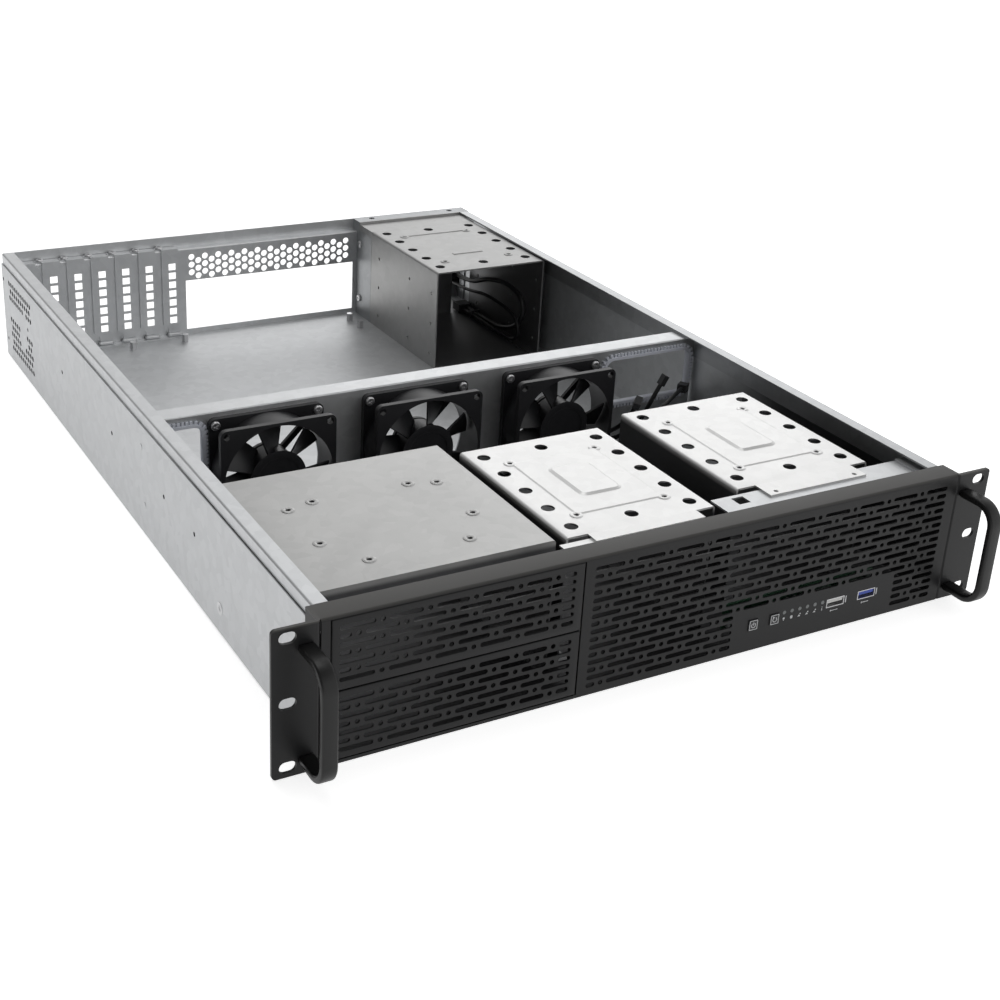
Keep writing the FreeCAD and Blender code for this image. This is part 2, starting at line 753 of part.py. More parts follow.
# Rear drive cage and the front cages: inverted troughs with feet turned in
def trough(label, left, wide, front, deep, top):
    """A cage folded from one sheet: two sides, a top and feet on the floor."""
    body = new_body(label)
    right = left + wide
    shape = Drawing(body, "section", "XZ", front)
    shape.outline([
        (left, floor_top),
        (left, top, 1.8),
        (right, top, 1.8),
        (right, floor_top),
        (right - cage_foot, floor_top),
        (right - cage_foot, floor_top + plate),
        (right - plate, floor_top + plate),
        (right - plate, top - plate),
        (left + plate, top - plate),
        (left + plate, floor_top + plate),
        (left + cage_foot, floor_top + plate),
        (left + cage_foot, floor_top),
    ])
    shape.pad(deep)
    return body


def top_holes(body, left, wide, first, top):
    """Large holes along both edges of a cage's top and at the middle of its ends."""
    for name, x in (("left", left + cage_margin), ("right", left + wide - cage_margin)):
        holes = Drawing(body, "holes_" + name, "XY", top - plate - 1)
        holes.many_sided(x, first, cage_hole, 8)
        row_of(body, holes.cut(plate + 2), "Y", cage_hole_pitch, 5)
    middle = Drawing(body, "holes_middle", "XY", top - plate - 1)
    middle.many_sided(left + wide / 2, first, cage_hole, 8)
    middle.many_sided(left + wide / 2, first + cage_hole_pitch * 4, cage_hole, 8)
    middle.cut(plate + 2)


def drive_holes(body, name, centre, first, wide, long, top):
    """Four screw holes for a drive under a cage's top."""
    holes = Drawing(body, name, "XY", top - plate - 1)
    for side in (-0.5, 0.5):
        for along in (0, 1):
            holes.many_sided(centre + wide * side, first + long * along, drive_hole, 6)
    holes.cut(plate + 2)


def small_cage(label, left, wide, front, deep, first, top):
    """A cage for small drives, with its holes."""
    body = trough(label, left, wide, front, deep, top)
    top_holes(body, left, wide, first, top)
    drive_holes(
        body, "drive_holes", left + wide / 2, first + drive_from_hole,
        small_drive_wide, small_drive_long, top,
    )
    return body


def tongue_of(body, left, front, back):
    """A tongue at the front of a small cage's top sheet."""
    shape = Drawing(body, "tongue", "XY", cage_top - plate)
    shape.rectangle(left + tongue_inset, left + small_cage_wide - tongue_inset, front, back + plate)
    shape.pad(plate)


rear_cage = small_cage(
    "rear_drive_cage", rear_cage_left, rear_cage_wide, rear_cage_front, rear_cage_deep,
    rear_cage_front + rear_first_hole, rear_cage_top,
)
side_holes = Drawing(rear_cage, "side_holes", "YZ", rear_cage_left - 1)
for y in (side_hole_front, side_hole_middle, side_hole_rear):
    side_holes.many_sided(rear_cage_front + y, side_hole_low, side_hole, 6)
row_of(rear_cage, side_holes.cut(rear_cage_wide + 2), "Z", side_hole_row, 3)

wide_cage = trough(
    "drive_cage_left", wide_cage_left, wide_cage_wide, wide_cage_front, wide_cage_deep, cage_top,
)
wide_middle = wide_cage_left + wide_cage_wide / 2
drive_holes(
    wide_cage, "small_drive_holes", wide_middle,
    wide_cage_front + size("small_drive_screws_from_front", 21.4),
    small_drive_wide, small_drive_long, cage_top,
)
drive_holes(
    wide_cage, "wide_drive_holes", wide_middle,
    wide_cage_front + size("wide_drive_screws_from_front", 48.8),
    wide_drive_wide, wide_drive_long, cage_top,
)
lip = Drawing(wide_cage, "front_lip", "XZ", wide_cage_front)
lip.rectangle(
    wide_cage_left + plate, wide_cage_left + wide_cage_wide - plate,
    cage_top - wide_cage_lip, cage_top - plate / 2,
)
lip.pad(plate)

middle_cage = small_cage(
    "drive_cage_middle", middle_cage_left, small_cage_wide, middle_cage_front, small_cage_deep,
    middle_cage_front + middle_first_hole, cage_top,
)
tongue_of(middle_cage, middle_cage_left, middle_tongue_front, middle_cage_front)
lug = Drawing(middle_cage, "front_lug", "XY", cage_top - plate * 2)
lug_left = middle_cage_left + tongue_inset - lug_wide + plate
lug.rectangle(lug_left, lug_left + lug_wide, middle_tongue_front, middle_tongue_front + lug_deep)
lug.pad(plate)
right_cage = small_cage(
    "drive_cage_right", right_cage_left, small_cage_wide, right_cage_front, small_cage_deep,
    right_cage_front + right_first_hole, cage_top,
)
tongue_of(right_cage, right_cage_left, right_tongue_front, right_cage_front)
tongue_holes = Drawing(right_cage, "tongue_holes", "XY", cage_top - plate - 1)
tongue_hole_y = right_tongue_front + size("tongue_hole_from_front", 3.6)
for side in (-0.5, 0.5):
    x = right_cage_left + small_cage_wide / 2 + small_drive_wide * side
    tongue_holes.many_sided(x, tongue_hole_y, drive_hole, 6)
tongue_holes.cut(plate + 2)

# Fan wall: a sheet across the case with a top flange, a foot and five openings
wall = new_body("fan_wall")
upright = Drawing(wall, "sheet", "XZ", wall_front)
upright.rectangle(-rail_inner + touch, rail_inner - touch, floor_top, fan_wall_top - plate)
upright.rectangle(pass_right_from, pass_right_to, pass_low, pass_high, pass_radius)
upright.rectangle(pass_left_from, pass_left_to, pass_low, pass_high, pass_radius)
for number in range(3):
    upright.circle(fan_first_x + fan_pitch * number, fan_z, fan_bore)
upright.pad(plate)
top_flange = Drawing(wall, "top_flange", "YZ", -wall_flange_half)
top_flange.outline([
    (wall_front, fan_wall_top - plate),
    (wall_front, fan_wall_top, 1),
    (wall_front + wall_flange, fan_wall_top),
    (wall_front + wall_flange, fan_wall_top - plate),
])
top_flange.pad(wall_flange_half * 2)
wall_foot = Drawing(wall, "foot", "XY", floor_top)
wall_foot.rectangle(-rail_inner + touch, rail_inner - touch, wall_front, wall_front + wall_flange)
wall_foot.pad(plate)

# Fans: a square frame with a round tube and four struts, and a rotor with seven blades
fan_front = wall_front - fan_deep
strut_front = fan_deep - strut_deep


def flange_of(body, name, from_front):
    """One square flange of a fan frame."""
    shape = Drawing(body, name, "XZ", from_front)
    shape.rectangle(-fan_side / 2, fan_side / 2, -fan_side / 2, fan_side / 2, fan_corner)
    shape.circle(0, 0, fan_bore)
    for side_x in (-1, 1):
        for side_z in (-1, 1):
            shape.many_sided(fan_hole_at * side_x, fan_hole_at * side_z, fan_hole, 6)
    shape.pad(fan_flange)


# Sections of a blade at the hub and at its tip: (depth, sideways)
BLADE_ROOT = ((3, -5), (4.4, -5.4), (12, -1), (19, 6.5), (18, 6.9), (10.5, 0.6))
BLADE_TIP = ((3, -13), (4, -13.6), (10, -4.5), (15.5, 7.5), (14.8, 8), (8.8, -3.2))
for number in range(3):
    fan_x = fan_first_x + fan_pitch * number
    frame = new_body("fan_frame_" + str(number + 1))
    tube = Drawing(frame, "tube", "XZ", 0)
    tube.circle(0, 0, fan_tube)
    tube.circle(0, 0, fan_bore)
    tube.pad(fan_deep)
    flange_of(frame, "front_flange", 0)
    flange_of(frame, "rear_flange", fan_deep - fan_flange)
    struts = Drawing(frame, "struts", "XZ", strut_front)
    diagonal = fan_bore + 1
    for turn in (45, 135, 225, 315):
        along = (cos(radians(turn)), sin(radians(turn)))
        across = (-along[1], along[0])
        near = hub_radius - 3
        half = strut_wide / 2
        struts.outline([
            (near * along[0] - half * across[0], near * along[1] - half * across[1]),
            (diagonal * along[0] - half * across[0], diagonal * along[1] - half * across[1]),
            (diagonal * along[0] + half * across[0], diagonal * along[1] + half * across[1]),
            (near * along[0] + half * across[0], near * along[1] + half * across[1]),
        ])
    struts.pad(strut_deep)
    seat = Drawing(frame, "motor_seat", "XZ", strut_front)
    seat.circle(0, 0, hub_radius)
    seat.circle(0, 0, shaft_radius + shaft_play)
    seat.pad(strut_deep)
    bind(frame, ".Placement.Base.x", fan_x)
    bind(frame, ".Placement.Base.y", fan_front)
    bind(frame, ".Placement.Base.z", fan_z)

    rotor = new_body("fan_rotor_" + str(number + 1))
    hub = Drawing(rotor, "hub", "XZ", hub_front)
    hub.circle(0, 0, hub_radius)
    hub.pad(hub_deep)
    pin = Drawing(rotor, "shaft", "XZ", hub_front + hub_deep)
    pin.circle(0, 0, shaft_radius)
    pin.pad(fan_deep - hub_front - hub_deep - touch)
    blade_root = Drawing(rotor, "blade_root", "YZ", hub_radius - 1)
    blade_root.outline(BLADE_ROOT)
    blade_root.finish()
    blade_end = Drawing(rotor, "blade_tip", "YZ", blade_tip + 2)
    blade_end.outline(BLADE_TIP)
    blade_end.finish()
    blade = rotor.newObject("PartDesign::AdditiveLoft", "blade_" + str(number + 1))
    blade.Profile = blade_root.sketch
    blade.Sections = [blade_end.sketch]
    blade.Ruled = True
    around(rotor, blade, "Y", 7)
    trim = Drawing(rotor, "tip_trim", "XZ", 0)
    trim.circle(0, 0, blade_tip)
    trim.circle(0, 0, blade_tip * 1.3)
    trim.cut(fan_deep)
    bind(rotor, ".Placement.Base.x", fan_x)
    bind(rotor, ".Placement.Base.y", fan_front)
    bind(rotor, ".Placement.Base.z", fan_z)

fan_screws = []
for number in range(3):
    for side_x in (-1, 1):
        for side_z in (-1, 1):
            fan_screws.append(stud(
                "fan_screw_" + str(len(fan_screws) + 1),
                fan_first_x + fan_pitch * number + fan_hole_at * side_x,
                wall_front - fan_flange, fan_z + fan_hole_at * side_z, "-Y",
                screw_radius, screw_head, 6,
            ))
group("fan_screws", fan_screws)


# Grommets that line the two cable passages
def grommet(label, left, right):
    body = new_body(label)
    ring = Drawing(body, "ring", "XZ", wall_front - (grommet_deep - plate) / 2)
    ring.rectangle(left, right, pass_low, pass_high, pass_radius)
    ring.rectangle(
        left + grommet_wall, right - grommet_wall,
        pass_low + grommet_wall, pass_high - grommet_wall, pass_radius - grommet_wall,
    )
    ring.pad(grommet_deep)
    return body


grommet("grommet_left", pass_left_from, pass_left_to)
grommet("grommet_right", pass_right_from, pass_right_to)

# Front cross bracket: a shallow channel between the bezel flange and the right cage
cross = new_body("front_cross_bracket")
cross_top = cage_top - plate
beam = Drawing(cross, "section", "YZ", cross_left)
beam.outline([
    (cross_front, cross_top - cross_drop),
    (cross_front, cross_top, 1.5),
    (cross_back, cross_top),
    (cross_back, cross_top - plate),
    (cross_front + plate, cross_top - plate),
    (cross_front + plate, cross_top - cross_drop),
])
beam.pad(rail_inner - cross_left)
end_plate = Drawing(cross, "end_plate", "XY", cross_top)
end_plate.rectangle(rail_inner - cross_end, rail_inner, cross_front, cross_back)
end_plate.pad(plate)
latch_hole = Drawing(cross, "latch_hole", "XY", cross_top - plate - 1)
latch_left = cross_left + cross_hole_margin
latch_hole.rectangle(
    latch_left, latch_left + cross_hole, cross_hole_front, cross_hole_front + cross_hole,
)
latch_hole.cut(plate + 2)


# Front bezel: one folded sheet with the bay opening, the controls and the grille
def slot_row(solids, left, right, dots, z, front, deep):
    """The slots of one grille row: it runs from left to right and is broken at each dot."""
    start = left
    for dot in list(dots) + [None]:
        end = right if dot is None else dot - dot_reach.value
        if end - start > slot_high.value:
            solids.append(Part.makeBox(
                end - start, deep, slot_high.value, Vector(start, front, z - slot_high.value / 2),
            ))
        if dot is not None:
            start = dot + dot_reach.value


# A grille block is left end, right end, dots of its first kind of row, dots of its second
# kind, top row height, row pitch, number of rows.
grille_pitch = size("grille_row_pitch", 4.95)
grille_top = size("grille_top_row", 80.5)
blank_pitch = size("blank_row_pitch", 5.05)
shortest_slot = size("grille_shortest_slot", 5)
last_dot = size("grille_last_dot_from_end", 11.8)
dot_pitch = size("grille_dot_pitch", 26.9)
main_left = bay_right + size("main_grille_margin", 6.1)
main_right = half_width - size("main_grille_right_margin", 7.8)
main_dot = main_left + size("first_dot_from_end", 23.2)
low_right = power_x - size("low_grille_from_button", 15.6)
far_left = usb_right_x + size("far_grille_from_usb", 21.2)
blank_grille_left = blank_left + size("blank_grille_left_margin", 4.3)
blank_grille_right = blank_right - size("blank_grille_right_margin", 5.3)
blank_dot = blank_grille_left + size("blank_first_dot_from_end", 24.1)
blank_top_row = size("blank_grille_top_margin", 5.4)


def dots_between(first, left, right):
    """Dots at the pitch from the first, as far as the block reaches, both ways."""
    dots = []
    while first - dot_pitch.value - dot_reach.value > left + shortest_slot.value:
        first -= dot_pitch.value
    while first - dot_reach.value < left + shortest_slot.value:
        first += dot_pitch.value
    while first < right - shortest_slot.value:
        dots.append(min(first, right - last_dot.value))
        first += dot_pitch.value
    return dots


def grille_cutter(name, blocks, front):
    """All slots of a grille as one group of bars to cut with."""
    solids = []
    for left, right, first, top, pitch, rows, shifted in blocks:
        for row in range(rows):
            half_step = dot_pitch.value / 2 if (row + shifted) % 2 else 0
            dots = dots_between(first + half_step, left, right)
            slot_row(solids, left, right, dots, top - pitch * row, front, plate.value + 2)
    bars = doc.addObject("Part::Feature", name)
    bars.Shape = Part.makeCompound(solids)
    return bars


bezel_sheet = new_body("front_bezel_sheet")
del nodes["front_bezel_sheet"]
profile = Drawing(bezel_sheet, "section", "YZ", -half_width)
profile.outline([
    (0, 0),
    (0, height, fold_radius),
    (bezel_back, height),
    (bezel_back, height - plate),
    (plate, height - plate, fold_radius - plate),
    (plate, 0),
])
profile.pad(half_width * 2)
openings = Drawing(bezel_sheet, "openings", "XZ", -1)
openings.rectangle(bay_left, bay_right, bay_low, bay_high)
for x in (power_x, reset_x):
    openings.rectangle(
        x - button_wide / 2 - button_play, x + button_wide / 2 + button_play,
        button_z - button_high / 2 - button_play, button_z + button_high / 2 + button_play,
    )
for x in (usb_left_x, usb_right_x):
    openings.rectangle(
        x - usb_wide / 2, x + usb_wide / 2, usb_z - usb_high / 2, usb_z + usb_high / 2,
    )
for number in range(6):
    openings.many_sided(light_x + light_pitch * number, light_z, light_radius, 6)
openings.cut(plate + 1 + fold_radius)

full_rows = 11
low_rows = 5
low_top = grille_top.value - grille_pitch.value * full_rows
main_bars = grille_cutter("main_grille_bars", [
    (main_left.value, main_right.value, main_dot.value, grille_top.value, grille_pitch.value,
     full_rows, 0),
    (main_left.value, low_right.value, main_dot.value, low_top, grille_pitch.value, low_rows, 1),
    (far_left.value, main_right.value, main_dot.value, low_top, grille_pitch.value, low_rows, 1),
], -1)
bezel = doc.addObject("Part::Cut", "front_bezel")
bezel.Base = bezel_sheet
bezel.Tool = main_bars
bezel.Label = "front_bezel"
nodes["front_bezel"] = bezel

# Drive bay blanks: shallow folded pans with the same grille
blank_rows = 7
for label, low, high in (
    ("drive_blank_lower", bay_low + touch, blank_split - blank_gap / 2),
    ("drive_blank_upper", blank_split + blank_gap / 2, bay_high - touch),
):
    pan = new_body(label + "_pan")
    del nodes[label + "_pan"]
    face = Drawing(pan, "face", "XZ", 0)
    face.rectangle(blank_left, blank_right, low, high)
    face.pad(blank_depth)
    hollow = Drawing(pan, "hollow", "XZ", plate)
    hollow.rectangle(blank_left + plate, blank_right - plate, low + plate, high - plate)
    hollow.cut(blank_depth)
    pan_bars = grille_cutter(label + "_bars", [
        (blank_grille_left.value, blank_grille_right.value, blank_dot.value,
         high.value - blank_top_row.value, blank_pitch.value, blank_rows, 0),
    ], -1)
    blank = doc.addObject("Part::Cut", label)
    blank.Base = pan
    blank.Tool = pan_bars
    blank.Label = label
    nodes[label] = blank


# Rack ears and handles
def ear(label, side):
    """An ear on one side, -1 left or 1 right: a folded plate with three rack slots."""
    body = new_body(label)
    fold = Drawing(body, "fold", "XY", 0)
    fold.outline([
        (half_width * side, 0, ear_bend),
        ((half_width + ear_bend + plate) * side, 0),
        ((half_width + ear_bend + plate) * side, ear_plate),
        ((half_width + ear_plate) * side, ear_plate),
        ((half_width + ear_plate) * side, ear_back),
        (half_width * side, ear_back),
    ])
    fold.pad(height)
    face = Drawing(body, "face", "XZ", 0)
    face.outline([
        ((half_width + ear_bend) * side, 0),
        (ear_edge * side, 0, ear_corner),
        (ear_edge * side, height, ear_corner),
        ((half_width + ear_bend) * side, height),
    ])
    face.pad(ear_plate)
    slots = Drawing(body, "slots", "XZ", -1)
    for step in (-1, 0, 1):
        slots.oblong(rack_x * side, rack_z_middle + rack_pitch * step, rack_slot_long, rack_slot_wide)
    slots.cut(ear_plate + 2)
    return body


def handle(label, side):
    """A strap handle bent from flat bar, screwed to the ear from behind."""
    body = new_body(label)
    inner_bend = handle_bend - handle_thick
    shape = Drawing(body, "side", "YZ", handle_x * side - handle_wide / 2)
    shape.outline([
        (0, handle_low),
        (-handle_reach, handle_low, handle_bend),
        (-handle_reach, handle_high, handle_bend),
        (0, handle_high),
        (0, handle_high - handle_thick),
        (-handle_reach + handle_thick, handle_high - handle_thick, inner_bend),
        (-handle_reach + handle_thick, handle_low + handle_thick, inner_bend),
        (0, handle_low + handle_thick),
    ])
    shape.pad(handle_wide)
    return body


handle_screws = []
for side, name in ((-1, "left"), (1, "right")):
    ear("ear_" + name, side)
    handle("handle_" + name, side)
    for z in (handle_low + handle_thick / 2, handle_high - handle_thick / 2):
        handle_screws.append(stud(
            "handle_screw_" + str(len(handle_screws) + 1),
            handle_x * side, ear_plate, z, "+Y", screw_radius, screw_head,
        ))
group("handle_screws", handle_screws)


# Front controls: two sprung buttons, lights, two ports and the board behind them
switch_tall = size("switch_height", 3)
switch_half = size("switch_half_width", 3)


def button(label, x):
    """A square cap with a lip that stays behind the bezel."""
    body = new_body(label)
    half_x = button_wide / 2
    half_z = button_high / 2
    cap = Drawing(body, "cap", "XZ", -button_out)
    cap.rectangle(x - half_x, x + half_x, button_z - half_z, button_z + half_z)
    cap.pad(button_out + board_front - switch_tall - button_travel - touch)
    lip = Drawing(body, "lip", "XZ", plate + touch)
    lip.rectangle(
        x - half_x - button_lip, x + half_x + button_lip,
        button_z - half_z - button_lip, button_z + half_z + button_lip,
    )
    lip.pad(button_lip)
    return body


button("power_button", power_x)
button("reset_button", reset_x)
group("indicator_lights", [
    stud(
        "indicator_light_" + str(i + 1), light_x + light_pitch * i, 0, light_z, "+Y",
        light_radius, board_front, 6,
    )
    for i in range(6)
])


def port(label, x):
    """A square metal shell with a tongue inside."""
    body = new_body(label)
    half_x = usb_wide / 2
    half_z = usb_high / 2
    shell = Drawing(body, "shell", "XZ", 0)
    shell.rectangle(x - half_x, x + half_x, usb_z - half_z, usb_z + half_z)
    shell.pad(board_front)
    mouth = Drawing(body, "mouth", "XZ", -1)
    mouth.rectangle(
        x - half_x + usb_shell, x + half_x - usb_shell,
        usb_z - half_z + usb_shell, usb_z + half_z - usb_shell,
    )
    mouth.cut(board_front - 1)
    tongue = Drawing(body, "tongue", "XZ", 1)
    tongue.rectangle(
        x - usb_tongue_wide / 2, x + usb_tongue_wide / 2, usb_z, usb_z + usb_tongue_high,
    )
    tongue.pad(board_front - 2)


port("usb_port_left", usb_left_x)
port("usb_port_right", usb_right_x)

board = block(
    "front_circuit_board", board_left, board_right, board_front, board_front + board_thick,
    board_low, board_high,
)
board.Label = "front_circuit_board"
nodes["front_circuit_board"] = board
group("button_switches", [
    block(
        "switch_" + name, x - switch_half, x + switch_half, board_front - switch_tall,
        board_front, button_z - switch_half, button_z + switch_half,
    )
    for name, x in (("power", power_x), ("reset", reset_x))
])
post_inset = size("board_post_inset", 4)
board_post = size("board_post_radius", 2.4)
group("front_board_posts", [
    stud(
        "board_post_" + str(i + 1), x, plate, z, "+Y", board_post, board_front - plate, 6,
    )
    for i, (x, z) in enumerate((
        (board_left + post_inset, board_low + post_inset),
        (board_right - post_inset, board_low + post_inset),
        (board_right - post_inset, board_high - post_inset),
    ))
])

# Motherboard posts on the floor
post_tall = size("board_stand_height", 6.5)
post_radius = size("board_stand_radius", 3)
group("motherboard_posts", [
    stud(
        "motherboard_post_" + str(i + 1), io_left + x, length - y, floor_top, "+Z",
        post_radius, post_tall, 6,
    )
    for i, (x, y) in enumerate(((-54.3, 28), (-7.7, 26), (148.1, 27.5), (148.7, 48.5)))
])


# Cables: tubes along straight runs joined by tangent arcs
cable_thick = size("rear_cable_diameter", 4.2)
cable_thin = size("rear_small_cable_diameter", 3)
lead_thick = size("fan_lead_diameter", 3.2)
ARC_SHARE = 0.45


def cord(label, thick, corner, points):
    """A cord along its route from a corner, with arcs as large as the runs allow."""
    radius = thick.value / 2
    route = [Vector(*point) for point in points]
    edges = []
    at = route[0]
    drawn = 0
    smallest = None
    for before, bend, after in zip(route, route[1:], route[2:]):
        came = (bend - before).normalize()
        goes = (after - bend).normalize()
        shorter = min((bend - before).Length, (after - bend).Length)
        half_turn = came.getAngle(goes) / 2
        arc_radius = ARC_SHARE * shorter / tan(half_turn)
        smallest = arc_radius if smallest is None else min(smallest, arc_radius)
        start = bend - came * (ARC_SHARE * shorter)
        end = bend + goes * (ARC_SHARE * shorter)
        inward = (goes - came).normalize()
        middle = bend + inward * (arc_radius / cos(half_turn) - arc_radius)
        edges.append(Part.LineSegment(at, start).toShape())
        edges.append(Part.Arc(start, middle, end).toShape())
        drawn += (start - at).Length + 2 * half_turn * arc_radius
        at = end
    edges.append(Part.LineSegment(at, route[-1]).toShape())
    drawn += (route[-1] - at).Length
    first_run = route[1] - route[0]
    ring = Part.Wire(Part.Circle(route[0], first_run, radius).toShape())
    tube = Part.Wire(edges).makePipeShell([ring], True, True)
    thing = doc.addObject("Part::Feature", label)
    thing.Shape = tube
    thing.Label = label
    bind(thing, ".Placement.Base.x", corner[0])
    bind(thing, ".Placement.Base.y", corner[1])
    nodes[label] = thing
    share = tube.Volume / (pi * radius * radius * drawn)
    print(label, "length", round(drawn), "smallest bend", round(smallest, 1), "share", round(share, 3))


def plug(label, corner, at, towards, wide, tall, long):
    """A plug at the end of a cord, pointing the way the cord ends."""
    body = block(label, 0, long, 0, wide, 0, tall)
    turn = Rotation(Vector(1, 0, 0), Vector(*towards))
    seat = Vector(*at) - turn.multVec(Vector(0, wide / 2, tall / 2))
    body.Placement = Placement(seat, turn)
    bind(body, ".Placement.Base.x", corner[0] + seat.x)
    bind(body, ".Placement.Base.y", corner[1] + seat.y)
    bind(body, ".Placement.Base.z", seat.z)
    body.Label = label
    nodes[label] = body


# Two cables loop inside the rear cage. Their places run from the wall and the rear.
rear_corner = (rail_inner, length)
cord("rear_cable_1", cable_thick, rear_corner, [
    (-15.1, -25, 32), (-15.1, -53, 32), (-15.1, -85, 46), (-15.1, -117, 52), (-16.1, -145, 49),
    (-16.1, -152, 34), (-15.1, -138, 17), (-14.1, -110, 6.8), (-14.1, -79, 5.7), (-14.1, -48, 5.7),
])
cord("rear_cable_2", cable_thin, rear_corner, [
    (-20.1, -25, 26), (-20.1, -53, 26), (-20.1, -89, 33.3), (-19.6, -121, 32.8),
    (-19.6, -140, 30), (-19.4, -148.5, 23.3), (-19.1, -148.7, 13.8), (-18.9, -142, 6.9),
    (-18.7, -131, 5.45), (-18.7, -111, 5.2), (-18.7, -79, 5.4), (-18.7, -48, 5.4),
])
cable_plug_long = size("rear_cable_plug_length", 12)
for label, x0, x1, y0, z0, z1 in (
    ("rear_cable_plug_upper", -23.6, -11.1, -25, 22.5, 36),
    ("rear_cable_plug_lower", -23.1, -10.1, -48, 2.5, 9.5),
):
    end_plug = block(
        label, rail_inner + x0, rail_inner + x1, length + y0, length + y0 + cable_plug_long, z0, z1,
    )
    end_plug.Label = label
    nodes[label] = end_plug
tie_y = length - size("cable_tie_from_rear", 67)
tie_x = rail_inner - size("cable_tie_from_wall", 16.1)
tie_half = size("cable_tie_half_width", 5.4)
tie_low = size("cable_tie_bottom", 2.45)
tie_high = size("cable_tie_top", 9.2)
tie_thick = size("cable_tie_thickness", 0.9)
tie = new_body("cable_tie")
tie_ring = Drawing(tie, "ring", "XZ", tie_y)
tie_ring.rectangle(tie_x - tie_half, tie_x + tie_half, tie_low, tie_high, tie_thick * 1.5)
tie_ring.rectangle(
    tie_x - tie_half + tie_thick, tie_x + tie_half - tie_thick,
    tie_low + tie_thick, tie_high - tie_thick,
)
tie_ring.pad(size("cable_tie_width", 3))

# Three leads rise from the last fan. Their places run from its axis and the fan wall.
fan_corner_place = (fan_first_x + fan_pitch * 2, wall_front)
cord("fan_lead_1", lead_thick, fan_corner_place, [
    (40, -2, 14), (57.1, -2, 14), (64.1, -22.5, 30), (66.1, -31.5, 50), (75.1, -32.5, 67),
])
cord("fan_lead_2", lead_thick, fan_corner_place, [
    (40, -2, 8), (56.6, -2, 8), (63.1, -22.5, 24), (73.1, -32.5, 44), (91.1, -29.5, 55),
    (107.1, -16.5, 53),
])
cord("fan_lead_3", lead_thick, fan_corner_place, [
    (40, -2, 20), (57.1, -2, 20), (62.1, -16.5, 37), (58.1, -28.5, 52),
])
plug("lead_plug_1", fan_corner_place, (75.1, -32.5, 67), (9, -1, 17), 5, 4, 8)
plug("lead_plug_2", fan_corner_place, (107.1, -16.5, 53), (16, 13, -2), 7, 6, 9)
plug("lead_plug_3", fan_corner_place, (58.1, -28.5, 52), (-4, -12, 15), 7, 5, 8)

# Recompute, check and write
doc.recompute()
for thing in doc.Objects:
    for word in ("Invalid", "Error"):
        if word in thing.State:
            raise RuntimeError(thing.Name + " failed: " + ", ".join(thing.State))
for feature in features_that_cut:
    if feature.BaseFeature.Shape.Volume - feature.Shape.Volume < 0.01:
        raise RuntimeError(feature.Name + " cuts nothing")
for label, node in nodes.items():
    if node.Shape.isNull() or not node.Shape.isValid():
        raise RuntimeError(label + " has no valid shape")
    node.Shape.exportStep("parts/" + label + ".step")
print(len(nodes), "nodes,", sum(len(node.Shape.Solids) for node in nodes.values()), "solids")
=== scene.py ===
import json
from math import cos, pi, radians, sin

import bpy
from mathutils import Matrix, Vector


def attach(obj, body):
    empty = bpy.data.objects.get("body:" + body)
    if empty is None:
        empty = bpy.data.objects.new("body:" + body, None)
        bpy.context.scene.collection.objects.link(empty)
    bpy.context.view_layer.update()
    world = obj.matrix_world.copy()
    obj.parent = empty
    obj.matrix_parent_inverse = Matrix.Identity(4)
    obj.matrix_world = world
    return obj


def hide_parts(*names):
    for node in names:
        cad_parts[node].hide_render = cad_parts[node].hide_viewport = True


# Empty two-unit rackmount server case. Places are written in millimetres, in the case's
# own frame: X right, Y to the rear, Z up, origin under the front at mid-width.
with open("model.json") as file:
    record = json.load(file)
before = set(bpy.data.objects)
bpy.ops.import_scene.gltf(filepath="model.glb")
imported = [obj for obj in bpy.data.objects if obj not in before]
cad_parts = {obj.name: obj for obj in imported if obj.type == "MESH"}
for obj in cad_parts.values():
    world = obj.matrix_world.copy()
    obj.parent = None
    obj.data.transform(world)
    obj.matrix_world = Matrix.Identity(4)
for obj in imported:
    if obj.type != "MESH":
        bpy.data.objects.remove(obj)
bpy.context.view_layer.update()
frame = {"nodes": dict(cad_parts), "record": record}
MM = 0.001
CHASSIS = "chassis"

# Sizes that several pieces and finishes share; a cage is left, right, front, back
SHEET = 1.2
HALF = 214.5
HEIGHT = 88
LENGTH = 645
SMALL_WIDE = 103.2
MIDDLE_CAGE = (-51.4, -51.4 + SMALL_WIDE, 32.5, 158)
RIGHT_CAGE = (78, 78 + SMALL_WIDE, 45.8, 171.3)
REAR_CAGE = (101.3, 101.3 + SMALL_WIDE, 479, 605)
WIDE_CAGE = (-205.8, -57.9, 33, 173.7)
CAGE_TOP = 84
REAR_TOP = 86
BRACKET_FRONT = 631.4


# Shader maths, with the places of a colour mix node's sockets
MIX_FACTOR, MIX_FIRST, MIX_SECOND = 0, 6, 7
MIX_COLOUR = 2


class Value:
    """A socket of a finish that can be used in plain sums."""

    def __init__(self, finish, socket):
        self.finish = finish
        self.socket = socket

    def sum(self, operation, first, second):
        return self.finish.add("ShaderNodeMath", {"operation": operation}, {0: first, 1: second})

    def __add__(self, other):
        return self.sum("ADD", self, other)

    def __radd__(self, other):
        return self.sum("ADD", other, self)

    def __mul__(self, other):
        return self.sum("MULTIPLY", self, other)

    def __rmul__(self, other):
        return self.sum("MULTIPLY", other, self)


